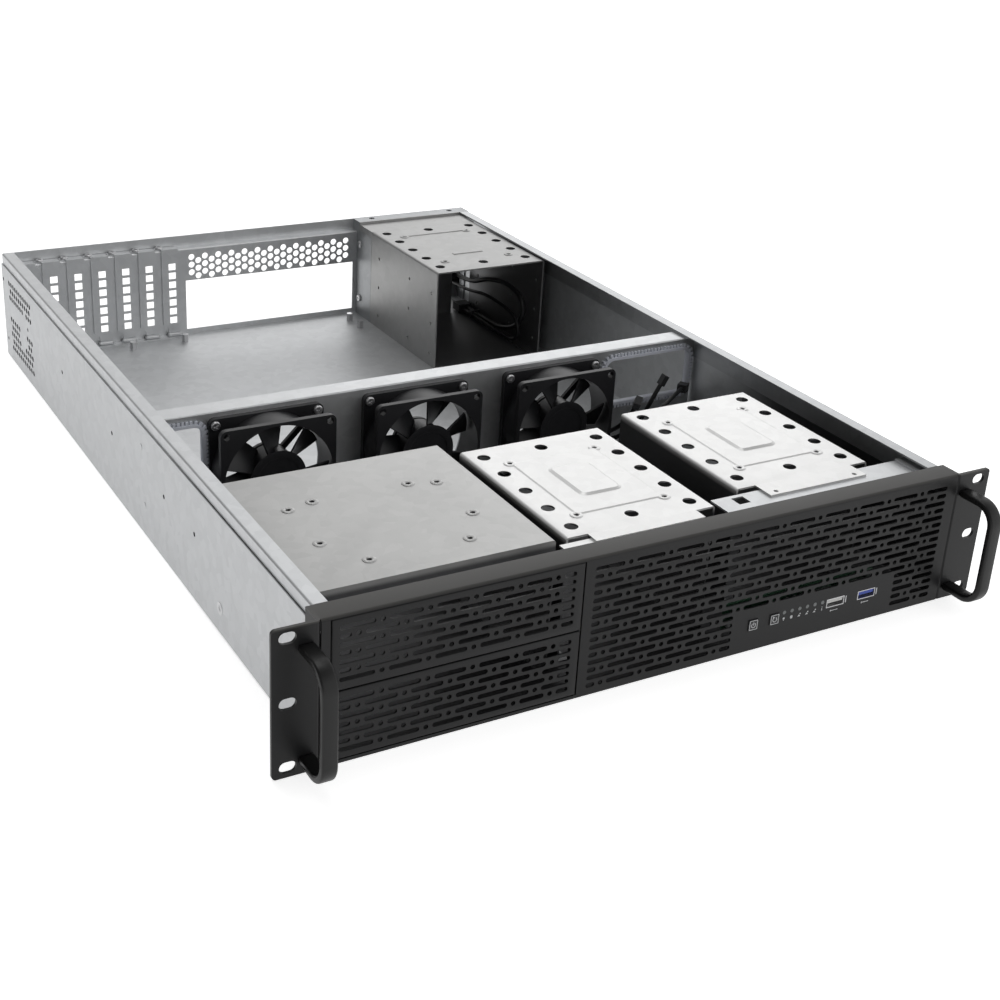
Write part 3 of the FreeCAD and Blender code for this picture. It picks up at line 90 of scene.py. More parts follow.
class Finish:
    """A material: constants sit on the shader's sockets, and maps feed what varies."""

    def __init__(self, name, **constants):
        self.material = bpy.data.materials.new(name)
        self.material.use_nodes = True
        self.tree = self.material.node_tree
        self.shader = self.tree.nodes["Principled BSDF"]
        for socket, amount in constants.items():
            self.shader.inputs[socket.replace("_", " ")].default_value = amount

    def add(self, kind, settings, inputs, output=0):
        """Adds a node: its settings first, then the values or links of its sockets."""
        node = self.tree.nodes.new(kind)
        for name, setting in settings.items():
            setattr(node, name, setting)
        for name, amount in inputs.items():
            if isinstance(amount, Value):
                self.tree.links.new(amount.socket, node.inputs[name])
            else:
                node.inputs[name].default_value = amount
        return Value(self, node.outputs[output])

    def place(self, scale=(1, 1, 1)):
        """The object's own coordinates, stretched."""
        here = self.add("ShaderNodeTexCoord", {}, {}, "Object")
        return self.add("ShaderNodeMapping", {}, {"Vector": here, "Scale": scale})

    def noise(self, scale, detail, stretch=(1, 1, 1)):
        return self.add("ShaderNodeTexNoise", {}, {
            "Vector": self.place(stretch), "Scale": scale, "Detail": detail,
        })

    def along(self, axis):
        """A place along one axis of the object."""
        return self.add("ShaderNodeSeparateXYZ", {}, {"Vector": self.place()}, axis)

    def rise(self, amount, start, end):
        """A soft step from 0 to 1."""
        return self.add("ShaderNodeMapRange", {"interpolation_type": "SMOOTHSTEP"}, {
            "Value": amount, "From Min": start, "From Max": end,
        })

    def near(self, amount, low, high):
        """1 where an amount lies between two limits, and 0 elsewhere."""
        return self.add("ShaderNodeMath", {"operation": "COMPARE"}, {
            0: amount, 1: (low + high) / 2, 2: (high - low) / 2,
        })

    def inside(self, box):
        """1 inside a box of the part's frame, in metres, and 0 elsewhere."""
        x0, x1, y0, y1, z0, z1 = box
        across = self.near(self.along("X"), x0, x1) * self.near(self.along("Y"), y0, y1)
        return across * self.near(self.along("Z"), z0, z1)

    def mix(self, factor, first, second):
        """A colour between two colours."""
        return self.add("ShaderNodeMix", {"data_type": "RGBA"}, {
            MIX_FACTOR: factor, MIX_FIRST: first, MIX_SECOND: second,
        }, MIX_COLOUR)

    def feed(self, socket, amount):
        self.tree.links.new(amount.socket, self.shader.inputs[socket])

    def bump(self, height, strength, distance):
        relief = self.add("ShaderNodeBump", {}, {
            "Height": height, "Strength": strength, "Distance": distance,
        })
        self.feed("Normal", relief)


# Colours of painted shade and of a painted highlight, and where they lie, in metres
PAINTED_SHADE_ZINC = (0.085, 0.085, 0.088, 1)
PAINTED_SHADE_SIDE = (0.13, 0.13, 0.135, 1)
SHADED = (0.24, 0.24, 0.245, 1)
PAINTED_HIGHLIGHT_COAT = (0.055, 0.053, 0.05, 1)
VENT_RIM_X = (0.21338, 0.21444)
VENT_RIM_Z = (0.003, 0.078)
TRAY_UNDER_CAGES = (0.16, 0.24, 0.2138)
FLOOR_UNDER_REAR_CAGE = (0.1028, 0.2032, 0.4795, 0.6435, -0.001, 0.003)
SIDE_SHADE_HEIGHTS = (0.079, 0.0825)
BEZEL_TOP = (0.0866, 0.0878)


def paler(colour, shift, lift):
    """A lighter shade of a colour, with its alpha."""
    return tuple(min(1.0, part * shift + lift) for part in colour) + (1,)


def sheet_steel(
    name, dark, light, rough, spangle, tray_painted_shade=None, painted_shade_below=None, shade=None,
):
    """Zinc-coated sheet: faint crystals, rolling streaks and a soft sheen.

    tray_painted_shade paints shade on the floor up to a Y and on the rims of the wall's holes,
    painted_shade_below paints shade on what lies under a height, and shade paints shade in a
    box.
    """
    finish = Finish(name, Metallic=0.92)
    crystal = finish.add(
        "ShaderNodeTexVoronoi", {}, {"Vector": finish.place(), "Scale": 160.0}, "Color",
    )
    grey = finish.add("ShaderNodeSeparateColor", {}, {"Color": crystal})
    cloud = finish.noise(9.0, 3.0)
    streak = finish.noise(60.0, 2.0, (1.0, 0.04, 1.0))
    mask = grey * spangle + cloud * (0.75 - spangle) + streak * 0.25
    colour = finish.mix(mask, dark + (1,), light + (1,))
    # Painted shade: the floor under the drive cages is darkened
    if tray_painted_shade:
        start, end, half = tray_painted_shade
        sideways = finish.add("ShaderNodeMath", {"operation": "ABSOLUTE"}, {
            0: finish.along("X"),
        })
        outside = finish.add("ShaderNodeMath", {"operation": "GREATER_THAN"}, {
            0: sideways, 1: half,
        })
        clear = finish.rise(finish.along("Y"), start, end)
        kept = finish.add("ShaderNodeMath", {"operation": "MAXIMUM"}, {0: clear, 1: outside})
        colour = finish.mix(kept, PAINTED_SHADE_ZINC, colour)
        # Painted shade: the rims of the vent holes in the tray's left wall are darkened
        in_wall = finish.near(sideways, *VENT_RIM_X)
        rims = in_wall * finish.near(finish.along("Z"), *VENT_RIM_Z)
        colour = finish.mix(rims, colour, PAINTED_SHADE_ZINC)
    # Painted shade: the sheet below a height is darkened
    if painted_shade_below:
        colour = finish.mix(finish.rise(finish.along("Z"), *painted_shade_below), PAINTED_SHADE_SIDE, colour)
    # Painted shade: what lies inside the box is darkened
    if shade:
        colour = finish.mix(finish.inside(shade), colour, SHADED)
    finish.feed("Base Color", colour)
    fine = finish.noise(1400.0, 2.0)
    finish.feed("Roughness", cloud * 0.08 + streak * 0.05 + fine * 0.04 + rough)
    finish.bump(fine * 0.6 + streak * 0.4, 0.05, 0.00004)
    return finish.material


def powder_coat(name, colour, rough, grain, painted_highlight_top=None):
    """A baked coat with fine orange peel and slightly worn sheen, and a painted highlight on a
    top face.
    """
    finish = Finish(name, Specular_IOR_Level=0.35)
    cloud = finish.noise(14.0, 3.0)
    coat = finish.mix(cloud * 0.7, colour + (1,), paler(colour, 1.35, 0.004))
    # Painted highlight: the top face is made paler
    if painted_highlight_top:
        coat = finish.mix(finish.rise(finish.along("Z"), *painted_highlight_top), coat, PAINTED_HIGHLIGHT_COAT)
    finish.feed("Base Color", coat)
    finish.feed("Roughness", cloud * 0.08 + rough)
    finish.bump(finish.noise(grain, 2.0), 0.12, 0.00005)
    return finish.material


def moulded(name, colour, rough, coat=0.0, shift=1.25):
    """Moulded plastic with a light mottling."""
    finish = Finish(name, Coat_Weight=coat)
    cloud = finish.noise(40.0, 3.0)
    finish.feed("Base Color", finish.mix(cloud, colour + (1,), paler(colour, shift, 0.003)))
    finish.feed("Roughness", cloud * 0.1 + rough)
    finish.bump(finish.noise(900.0, 2.0), 0.06, 0.00004)
    return finish.material


ZINC = sheet_steel("zinc_sheet", (0.52, 0.53, 0.54), (0.66, 0.67, 0.68), 0.33, 0.35)
BRIGHT = sheet_steel("bright_sheet", (0.66, 0.66, 0.655), (0.76, 0.76, 0.755), 0.36, 0.3)
# Lit and shaded copies of the one zinc: painted light on the rear panel and slot covers, painted
# shade on the right rail and the rear bracket
LIT_PANEL_ZINC = sheet_steel("lit_panel_zinc", (0.64, 0.65, 0.66), (0.79, 0.8, 0.81), 0.33, 0.35)
SHADED_RAIL_ZINC = sheet_steel("shaded_rail_zinc", (0.43, 0.44, 0.45), (0.55, 0.56, 0.57), 0.33, 0.35)
SHADED_BRACKET_ZINC = sheet_steel("shaded_bracket_zinc", (0.32, 0.33, 0.34), (0.42, 0.43, 0.44), 0.36, 0.35)
# The tray's zinc, with painted shade under the drive cages, in its wall's vent rims and on the
# floor inside the rear cage
FLOOR_ZINC = sheet_steel(
    "floor_zinc", (0.54, 0.55, 0.56), (0.68, 0.69, 0.7), 0.42, 0.35,
    tray_painted_shade=TRAY_UNDER_CAGES, shade=FLOOR_UNDER_REAR_CAGE,
)

# How far the painted shade inside a cage starts from its sides, ends and top
SHADE_FROM_SIDE = 1.15
SHADE_FROM_END = 0.3
SHADE_FROM_TOP = 0.25


def cage_steel(name, dark, light, box, top, painted_shade_below=None):
    """Sheet of a cage, with painted shade on its inner faces and in its holes, and below a
    height when painted_shade_below is given.
    """
    left, right, front, back = box
    shade = (
        left + SHADE_FROM_SIDE, right - SHADE_FROM_SIDE,
        front + SHADE_FROM_END, back - SHADE_FROM_END, 0, top - SHADE_FROM_TOP,
    )
    return sheet_steel(
        name, dark, light, 0.36, 0.3, painted_shade_below=painted_shade_below,
        shade=[place * MM for place in shade],
    )


# One cage steel in three tones of painted light: a lit tone for the middle and right cages, and
# shaded tones for the wide and rear cages
SHADED_WIDE_GREY = ((0.4, 0.4, 0.395), (0.5, 0.5, 0.495))
LIT_CAGE_GREY = ((0.7, 0.7, 0.695), (0.82, 0.82, 0.815))
SHADED_REAR_GREY = ((0.34, 0.34, 0.337), (0.43, 0.43, 0.427))
WITH_SHELF = (*REAR_CAGE[:3], BRACKET_FRONT)
REAR_SHEET = cage_steel("rear_cage_sheet", *SHADED_REAR_GREY, WITH_SHELF, REAR_TOP)
# Painted shade darkens the sides of the wide, middle and right cages below their top bends
WIDE_SHEET = cage_steel("wide_cage_sheet", *SHADED_WIDE_GREY, WIDE_CAGE, CAGE_TOP, SIDE_SHADE_HEIGHTS)
MIDDLE_SHEET = cage_steel("middle_cage_sheet", *LIT_CAGE_GREY, MIDDLE_CAGE, CAGE_TOP, SIDE_SHADE_HEIGHTS)
RIGHT_SHEET = cage_steel("right_cage_sheet", *LIT_CAGE_GREY, RIGHT_CAGE, CAGE_TOP, SIDE_SHADE_HEIGHTS)
# The black coat has a painted highlight on the bezel's top face
BLACK = powder_coat("black_coat", (0.006, 0.006, 0.0065), 0.4, 2600.0, BEZEL_TOP)
STRAP = powder_coat("handle_coat", (0.009, 0.009, 0.009), 0.34, 2000.0)
FAN = moulded("fan_plastic", (0.012, 0.012, 0.014), 0.38)
GROMMET = moulded("grommet_plastic", (0.58, 0.6, 0.66), 0.5)
CAP = moulded("button_plastic", (0.02, 0.02, 0.022), 0.4)
LENS = moulded("lens_plastic", (0.16, 0.17, 0.17), 0.3, 0.4)
BOARD = moulded("board_resin", (0.02, 0.07, 0.035), 0.4, 0.3)
JACKET = moulded("cable_jacket", (0.008, 0.008, 0.009), 0.35)
PALE = moulded("plug_plastic", (0.02, 0.02, 0.021), 0.4)
CHROME = sheet_steel("screw_steel", (0.55, 0.55, 0.56), (0.72, 0.72, 0.73), 0.22, 0.2)
PRINT = moulded("white_print", (0.72, 0.73, 0.74), 0.5, 0.0, 1.05)
BLUE = moulded("blue_tongue", (0.03, 0.07, 0.42), 0.35, 0.2)
WHITE = moulded("white_tongue", (0.75, 0.75, 0.73), 0.35, 0.2, 1.02)

FINISH_OF_SLOT = {
    "zinc_steel": ZINC, "bright_steel": BRIGHT, "black_coat": BLACK, "fan_plastic": FAN,
    "grommet_plastic": GROMMET, "button_plastic": CAP, "lens_plastic": LENS, "board": BOARD,
    "cable_jacket": JACKET, "plug_plastic": PALE, "screw_steel": CHROME,
}


def finish_node(node, finish):
    """Gives a finish to a whole node of the case."""
    for holder in frame["nodes"][node].material_slots:
        holder.material = finish


for part in frame["record"]["subparts"]:
    finish_node(part["node"], FINISH_OF_SLOT[part["material_slot"]])
for side in ("left", "right"):
    finish_node("handle_" + side, STRAP)
# Painted light and shade: lit and shaded copies of the zinc for the slot covers, the right rail
# and the rear bracket
for start, finish in (
    ("rail_right", SHADED_RAIL_ZINC), ("slot_cover", LIT_PANEL_ZINC), ("rear_bracket", SHADED_BRACKET_ZINC),
):
    for node in frame["nodes"]:
        if node.startswith(start) and not node.endswith("screws"):
            finish_node(node, finish)


# Making of pieces: by hand from primitives, and from flat outlines where a sheet has
# many holes
TURNS = {
    "XY": Matrix(((1, 0, 0), (0, 1, 0), (0, 0, 1))),
    "XZ": Matrix(((1, 0, 0), (0, 0, -1), (0, 1, 0))),
    "YZ": Matrix(((0, 0, 1), (1, 0, 0), (0, 1, 0))),
}
SIDES = {
    "left": (0, -1), "right": (0, 1), "front": (1, -1), "back": (1, 1),
    "bottom": (2, -1), "top": (2, 1),
}
ARC_STEPS = 6
SLOT_STEPS = 5
SQUARE_ON = 0.9


def only(piece):
    bpy.ops.object.select_all(action="DESELECT")
    piece.select_set(True)
    bpy.context.view_layer.objects.active = piece


def settle(piece, name):
    """Names a new piece and moves its place into its mesh."""
    piece.name = name
    only(piece)
    bpy.ops.object.transform_apply(location=True, rotation=True, scale=True)
    return piece


def block(name, x0, x1, y0, y1, z0, z1):
    """A box at its size and place."""
    bpy.ops.object.select_all(action="DESELECT")
    bpy.ops.mesh.primitive_cube_add(
        size=1, location=((x0 + x1) / 2 * MM, (y0 + y1) / 2 * MM, (z0 + z1) / 2 * MM),
    )
    bpy.context.object.scale = ((x1 - x0) * MM, (y1 - y0) * MM, (z1 - z0) * MM)
    return settle(bpy.context.object, name)


def rod(name, centre, radius, long, along="Z", sides=24):
    """A round bar about a centre, with its length along an axis."""
    bpy.ops.object.select_all(action="DESELECT")
    bpy.ops.mesh.primitive_cylinder_add(
        vertices=sides, radius=radius * MM, depth=long * MM,
        location=[place * MM for place in centre],
        rotation={"X": (0, pi / 2, 0), "Y": (pi / 2, 0, 0), "Z": (0, 0, 0)}[along],
    )
    return settle(bpy.context.object, name)


def copy_at(source, name, turn):
    """A copy with its own mesh, turned and moved by a matrix."""
    piece = bpy.data.objects.new(name, source.data.copy())
    bpy.context.collection.objects.link(piece)
    piece.matrix_world = turn
    return settle(piece, name)


def pick_faces(piece, chosen):
    """Goes into edit mode with the chosen faces selected."""
    only(piece)
    bpy.ops.object.mode_set(mode="EDIT")
    bpy.ops.mesh.select_mode(type="FACE")
    bpy.ops.mesh.select_all(action="DESELECT")
    bpy.ops.object.mode_set(mode="OBJECT")
    for face in piece.data.polygons:
        face.select = chosen(face)
    bpy.ops.object.mode_set(mode="EDIT")


def pick_edges(piece, chosen):
    """Goes into edit mode with the chosen edges selected."""
    only(piece)
    bpy.ops.object.mode_set(mode="EDIT")
    bpy.ops.mesh.select_mode(type="EDGE")
    bpy.ops.mesh.select_all(action="DESELECT")
    bpy.ops.object.mode_set(mode="OBJECT")
    points = piece.data.vertices
    for edge in piece.data.edges:
        edge.select = chosen(edge, points[edge.vertices[0]].co, points[edge.vertices[1]].co)
    bpy.ops.object.mode_set(mode="EDIT")


def corner_arc(centre, radius, start, turn, steps=ARC_STEPS):
    """Points of an arc in the plane, from an angle through a turn."""
    return [
        (centre[0] + radius * cos(start + turn * i / steps),
         centre[1] + radius * sin(start + turn * i / steps))
        for i in range(steps + 1)
    ]


def oblong(x, y, long, wide):
    """A slot with round ends, long way across."""
    half = (long - wide) / 2
    right = corner_arc((x + half, y), wide / 2, -pi / 2, pi, SLOT_STEPS)
    left = corner_arc((x - half, y), wide / 2, pi / 2, pi, SLOT_STEPS)
    return right + left


def disc(x, y, radius, steps=20):
    return corner_arc((x, y), radius, 0, 2 * pi * (steps - 1) / steps, steps - 1)


def box_outline(x0, x1, y0, y1, radius=0.0):
    """A rectangle, with rounded corners where it has a radius."""
    if not radius:
        return [(x0, y0), (x1, y0), (x1, y1), (x0, y1)]
    points = []
    for x, y, start in (
        (x1 - radius, y0 + radius, -pi / 2), (x1 - radius, y1 - radius, 0),
        (x0 + radius, y1 - radius, pi / 2), (x0 + radius, y0 + radius, pi),
    ):
        points += corner_arc((x, y), radius, start, pi / 2)
    return points


def about(x, y, half_wide, half_tall, radius=0.0):
    """A rectangle about a place."""
    return box_outline(x - half_wide, x + half_wide, y - half_tall, y + half_tall, radius)


def pressed(name, outlines, plane, start, end):
    """Flat outlines filled and drawn out from start to end along the plane's axis."""
    curve = bpy.data.curves.new(name, "CURVE")
    curve.dimensions = "2D"
    curve.fill_mode = "BOTH"
    curve.extrude = abs(end - start) / 2 * MM
    for outline in outlines:
        spline = curve.splines.new("POLY")
        spline.points.add(len(outline) - 1)
        for point, (x, y) in zip(spline.points, outline):
            point.co = (x * MM, y * MM, 0, 1)
        spline.use_cyclic_u = True
    piece = bpy.data.objects.new(name, curve)
    bpy.context.collection.objects.link(piece)
    only(piece)
    bpy.ops.object.convert(target="MESH")
    middle = (start + end) / 2 * MM
    axis = {"XY": (0, 0, middle), "XZ": (0, middle, 0), "YZ": (middle, 0, 0)}[plane]
    piece.matrix_world = Matrix.Translation(axis) @ TURNS[plane].to_4x4()
    settle(piece, name)
    bpy.ops.object.mode_set(mode="EDIT")
    bpy.ops.mesh.select_all(action="SELECT")
    bpy.ops.mesh.remove_doubles(threshold=0.000001)
    bpy.ops.mesh.normals_make_consistent(inside=False)
    bpy.ops.object.mode_set(mode="OBJECT")
    return piece


def cut_by(piece, cutter):
    """Cuts a piece by another, which is used up."""
    only(piece)
    cut = piece.modifiers.new("cut", "BOOLEAN")
    cut.operation = "DIFFERENCE"
    cut.solver = "EXACT"
    cut.object = cutter
    bpy.ops.object.modifier_apply(modifier="cut")
    bpy.data.objects.remove(cutter)
    return piece


def join(name, pieces):
    only(pieces[0])
    for piece in pieces:
        piece.select_set(True)
    bpy.ops.object.join()
    pieces[0].name = name
    return pieces[0]


def soften(piece, width, segments=2, angle=40):
    """Rounds the sharp edges a little, so that they catch the light."""
    only(piece)
    bevel = piece.modifiers.new("edge", "BEVEL")
    bevel.width = width * MM
    bevel.segments = segments
    bevel.limit_method = "ANGLE"
    bevel.angle_limit = radians(angle)
    bpy.ops.object.modifier_apply(modifier="edge")
    return piece


def smooth(piece, angle=35):
    only(piece)
    bpy.ops.object.shade_smooth_by_angle(angle=radians(angle))
    return piece


def thicken(piece, thickness=SHEET):
    """Gives a bent sheet its thickness, inwards."""
    only(piece)
    wall = piece.modifiers.new("wall", "SOLIDIFY")
    wall.thickness = thickness * MM
    wall.offset = -1
    wall.use_even_offset = True
    bpy.ops.object.modifier_apply(modifier="wall")
    return piece


def bent(name, box, left_open, bend, segments=5):
    """Sheet bent over a box and left open at some of its sides, with rounded bends."""
    piece = block(name, *box)
    gone = [SIDES[side] for side in left_open.split()]
    pick_faces(piece, lambda face: any(face.normal[a] * way > SQUARE_ON for a, way in gone))
    bpy.ops.mesh.delete(type="FACE")
    bpy.ops.object.mode_set(mode="OBJECT")
    shared = [key for face in piece.data.polygons for key in face.edge_keys]
    pick_edges(piece, lambda edge, start, end: shared.count(edge.key) > 1)
    bpy.ops.mesh.bevel(offset=bend * MM, segments=segments, affect="EDGES")
    bpy.ops.object.mode_set(mode="OBJECT")
    return piece


def fit(piece, material, body=CHASSIS, instead=()):
    """Gives a piece its finish and its body, and hides the nodes that it stands for."""
    piece.data.materials.clear()
    piece.data.materials.append(material)
    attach(piece, body)
    for node in instead:
        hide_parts(node)
    return piece


# Camera: fitted to the photo's outline, with a level a little off
VIEW_AZIMUTH = -30.398
VIEW_HEIGHT = 24.066
VIEW_ROLL = 3.097
eye = Vector((-491.1, -618.6, 485.3)) * MM
azimuth = radians(VIEW_AZIMUTH)
tilt = radians(VIEW_HEIGHT)
roll = radians(VIEW_ROLL)
back = Vector((sin(azimuth) * cos(tilt), -cos(azimuth) * cos(tilt), sin(tilt)))
right = Vector((cos(azimuth), sin(azimuth), 0))
upward = back.cross(right)
across = right * cos(roll) + upward * sin(roll)
above = upward * cos(roll) - right * sin(roll)
camera_data = bpy.data.cameras.new("camera")
camera_data.sensor_width = 36
camera_data.lens = 56.725
camera_data.shift_x = 0.018
camera_data.shift_y = -0.05
camera_data.clip_start = 0.01
camera = bpy.data.objects.new("camera", camera_data)
turn = Matrix((across, above, back)).transposed()
camera.matrix_world = Matrix.Translation(eye) @ turn.to_4x4()
bpy.context.collection.objects.link(camera)
bpy.context.scene.camera = camera


# Cords: two leads in the rear bay and the leads of the fans
def lead(node, thick, points):
    """A lead on one smooth line, in place of the case's own node."""
    line = bpy.data.curves.new(node + "_lead", "CURVE")
    line.dimensions = "3D"
    line.bevel_depth = thick / 2 * MM
    line.bevel_resolution = 4
    line.use_fill_caps = True
    run = line.splines.new("NURBS")
    run.points.add(len(points) - 1)
    for point, place in zip(run.points, points):
        point.co = (*(Vector(place) * MM), 1)
    run.order_u = 3
    run.use_endpoint_u = True
    piece = bpy.data.objects.new(node + "_lead", line)
    bpy.context.collection.objects.link(piece)
    fit(piece, JACKET, instead=[node])


lead("rear_cable_1", 4.2, [
    (197, 620, 32), (197, 592, 32), (197, 560, 46), (197, 528, 52), (196, 500, 49),
    (196, 493, 34), (197, 507, 17), (198, 535, 6.8), (198, 566, 5.7), (198, 597, 5.7),
])
lead("rear_cable_2", 3, [
    (192, 620, 26), (192, 592, 26), (192, 556, 33.3), (192.5, 524, 32.8), (192.5, 505, 30),
    (192.7, 496.5, 23.3), (193, 496.3, 13.8), (193.2, 503, 6.9), (193.4, 514, 5.45),
    (193.4, 534, 5.2), (193.4, 566, 5.4), (193.4, 597, 5.4),
])
lead("fan_lead_1", 3.2, [
    (124.9, 270.5, 14), (142, 270.5, 14), (149, 250, 30), (151, 241, 50), (160, 240, 67),
])
lead("fan_lead_2", 3.2, [
    (124.9, 270.5, 8), (141.5, 270.5, 8), (148, 250, 24), (158, 240, 44), (176, 243, 55),
    (192, 256, 53),
])
lead("fan_lead_3", 3.2, [
    (124.9, 270.5, 20), (142, 270.5, 20), (147, 256, 37), (143, 244, 52),
])

# Front bezel: folded sheet with the slotted grille
SLOT_HIGH = 2.95
DOT_RADIUS = 1.55
DOT_REACH = 3.9
DOT_PITCH = 26.9
LAST_DOT = 11.8
END_SPACE = 5


def grille(left, right, first_dot, top, pitch, rows, shifted=0):
    """Outlines of slots and dots: rows of slots broken by dots, each row half a step on."""
    outlines = []
    for row in range(rows):
        z = top - pitch * row
        dot = first_dot + (DOT_PITCH / 2 if (row + shifted) % 2 else 0)
        while dot - DOT_PITCH - DOT_REACH > left + END_SPACE:
            dot -= DOT_PITCH
        while dot - DOT_REACH < left + END_SPACE:
            dot += DOT_PITCH
        start = left
        while dot < right - END_SPACE:
            place = min(dot, right - LAST_DOT)
            end = place - DOT_REACH
            outlines.append(oblong((start + end) / 2, z, end - start, SLOT_HIGH))
            outlines.append(disc(place, z, DOT_RADIUS, 8))
            start = place + DOT_REACH
            dot += DOT_PITCH
        outlines.append(oblong((start + right) / 2, z, right - start, SLOT_HIGH))
    return outlines


BEZEL_BOX = (-HALF, HALF, 0, 15.8, 0, HEIGHT)
BEZEL_BEND = 2
BAY = (-209.5, -58.7, 2, 86.6)
GRILLE_LEFT = -52.6
GRILLE_RIGHT = 206.7
GRILLE_TOP = 80.5
FIRST_DOT = -29.4
ROW_PITCH = 4.95
LONG_ROWS = 11
SHORT_ROWS = 5
CONTROLS_LEFT = 48.5
CONTROLS_RIGHT = 173.7
BUTTON_Z = 17.8
BUTTONS = {"power": 64.1, "reset": 80.1}
BUTTON_OPENING = (3.6, 3.8, 0.5)
LIGHTS = [87.7 + 5.94 * i for i in range(6)]
LIGHT_Z = 20.4
LIGHT_HOLE = 1.2
PORT_Z = 18.4
PORTS = {"left": 127.7, "right": 152.5}
PORT_OPENING = (6.95, 2.95, 0.3)
bezel = thicken(bent("bezel", BEZEL_BOX, "left right back bottom", BEZEL_BEND))
main_slots = grille(GRILLE_LEFT, GRILLE_RIGHT, FIRST_DOT, GRILLE_TOP, ROW_PITCH, LONG_ROWS)
low_top = GRILLE_TOP - ROW_PITCH * LONG_ROWS
for start, end in ((GRILLE_LEFT, CONTROLS_LEFT), (CONTROLS_RIGHT, GRILLE_RIGHT)):
    main_slots += grille(start, end, FIRST_DOT, low_top, ROW_PITCH, SHORT_ROWS, 1)
main_slots += [about(x, BUTTON_Z, *BUTTON_OPENING) for x in BUTTONS.values()]
main_slots += [disc(x, LIGHT_Z, LIGHT_HOLE, 12) for x in LIGHTS]
main_slots += [about(x, PORT_Z, *PORT_OPENING) for x in PORTS.values()]
cut_by(bezel, pressed("bezel_slots", main_slots, "XZ", -1, SHEET + 1))
cut_by(bezel, pressed("bay_cut", [box_outline(*BAY)], "XZ", -1, SHEET + 3))
fit(smooth(bezel), BLACK, instead=["front_bezel"])

# Drive bay blanks: shallow pans with the same grille
BLANK_HEIGHTS = {"lower": (2.3, 43.6), "upper": (44.2, 86.3)}
BLANK_SIDES = (-208.9, -59.3)
BLANK_DEEP = 9
BLANK_BEND = 0.8
BLANK_GRILLE = (-204.6, -64.6)
BLANK_DOT = -180.5
BLANK_MARGIN = 5.4
BLANK_PITCH = 5.05
BLANK_ROWS = 7
for name, (low, high) in BLANK_HEIGHTS.items():
    pan_box = (*BLANK_SIDES, 0, BLANK_DEEP, low, high)
    pan = thicken(bent("blank_" + name + "_pan", pan_box, "back", BLANK_BEND, 3))
    rows = grille(*BLANK_GRILLE, BLANK_DOT, high - BLANK_MARGIN, BLANK_PITCH, BLANK_ROWS)
    cut_by(pan, pressed("blank_slots", rows, "XZ", -1, SHEET + 0.6))
    fit(smooth(pan), BLACK, instead=["drive_blank_" + name])


# Handles and buttons: copies of the case's own pieces, with rounded edges
HANDLE_ROUND = 1.3
BUTTON_ROUND = 0.35
# In degrees: faces that count as one plane, and edges that are rounded
ONE_PLANE = 0.5
ROUNDED_FROM = 50


def softened(node, width, segments=3):
    """A copy of a piece of the case with its edges rounded."""
    source = frame["nodes"][node]
    piece = copy_at(source, node + "_rounded", source.matrix_world.copy())
    bpy.ops.object.mode_set(mode="EDIT")
    bpy.ops.mesh.select_all(action="SELECT")
    bpy.ops.mesh.remove_doubles(threshold=0.000001)
    bpy.ops.mesh.dissolve_limited(angle_limit=radians(ONE_PLANE))
    bpy.ops.object.mode_set(mode="OBJECT")
    return smooth(soften(piece, width, segments, ROUNDED_FROM))


for side in ("left", "right"):
    node = "handle_" + side
    fit(softened(node, HANDLE_ROUND), STRAP, instead=[node])
for name in BUTTONS:
    cap = softened(name + "_button", BUTTON_ROUND, 2)
    fit(cap, CAP, name + "_button", [name + "_button"])


# Drive cages: bent sheet with large holes, screw collars and a pressed field
FOOT = 9
BEND = 1.8
SMALL_DRIVE = (61.72, 76.6)
WIDE_DRIVE = (95.25, 44.45)
DRIVE_HOLE = 1.6
DRIVE_START = 11
LARGE_HOLE = 4.2
HOLE_COUNT = 5
HOLE_STEP = 25.4
HOLE_EDGE = 10.3
# Slope and height of the pressed fields and bars, and where the fields lie
LOW_FIELD = (1.1, 0.45)
PAST_SCREWS = 0.05
HIGH_FIELD = (2.2, 1.0)
HIGH_FIELD_HALF = 15
HIGH_FIELD_RUN = (29.5, 71.9)
HIGH_FIELD_CORNER = 5
BAR = (0.7, 0.5)


def trough(name, left, right, front, back, top):
    """A cage: a top, two sides, and feet turned in along the floor."""
    piece = bent(name, (left, right, front, back, SHEET, top), "front back bottom", BEND)
    for side, way in ((left, 1), (right, -1)):
        place = side * MM
        pick_edges(piece, lambda edge, start, end: max(
            start.z, end.z) < 2 * MM and abs(start.x - place) + abs(end.x - place) < MM)
        bpy.ops.mesh.extrude_region_move(
            TRANSFORM_OT_translate={"value": (FOOT * way * MM, 0, 0)},
        )
        bpy.ops.object.mode_set(mode="OBJECT")
    return thicken(piece)


# A pressed field starts a little inside the sheet and ends in a slope
PAD_DEEP = 0.5
PAD_LIFT = 0.02


def field(x0, x1, y0, y1, z, corner, slope, tall):
    """A field pressed up out of a sheet at height z, with sloped edges."""
    pad = block("field", x0, x1, y0, y1, z - PAD_DEEP, z + PAD_LIFT)
    if corner:
        pick_edges(pad, lambda edge, start, end: abs(start.z - end.z) > 0.1 * MM)
        bpy.ops.mesh.bevel(offset=corner * MM, segments=4, affect="EDGES")
        bpy.ops.object.mode_set(mode="OBJECT")
    pick_faces(pad, lambda face: face.normal.z > SQUARE_ON)
    bpy.ops.mesh.inset(thickness=slope * MM, depth=tall * MM)
    bpy.ops.object.mode_set(mode="OBJECT")
    return pad


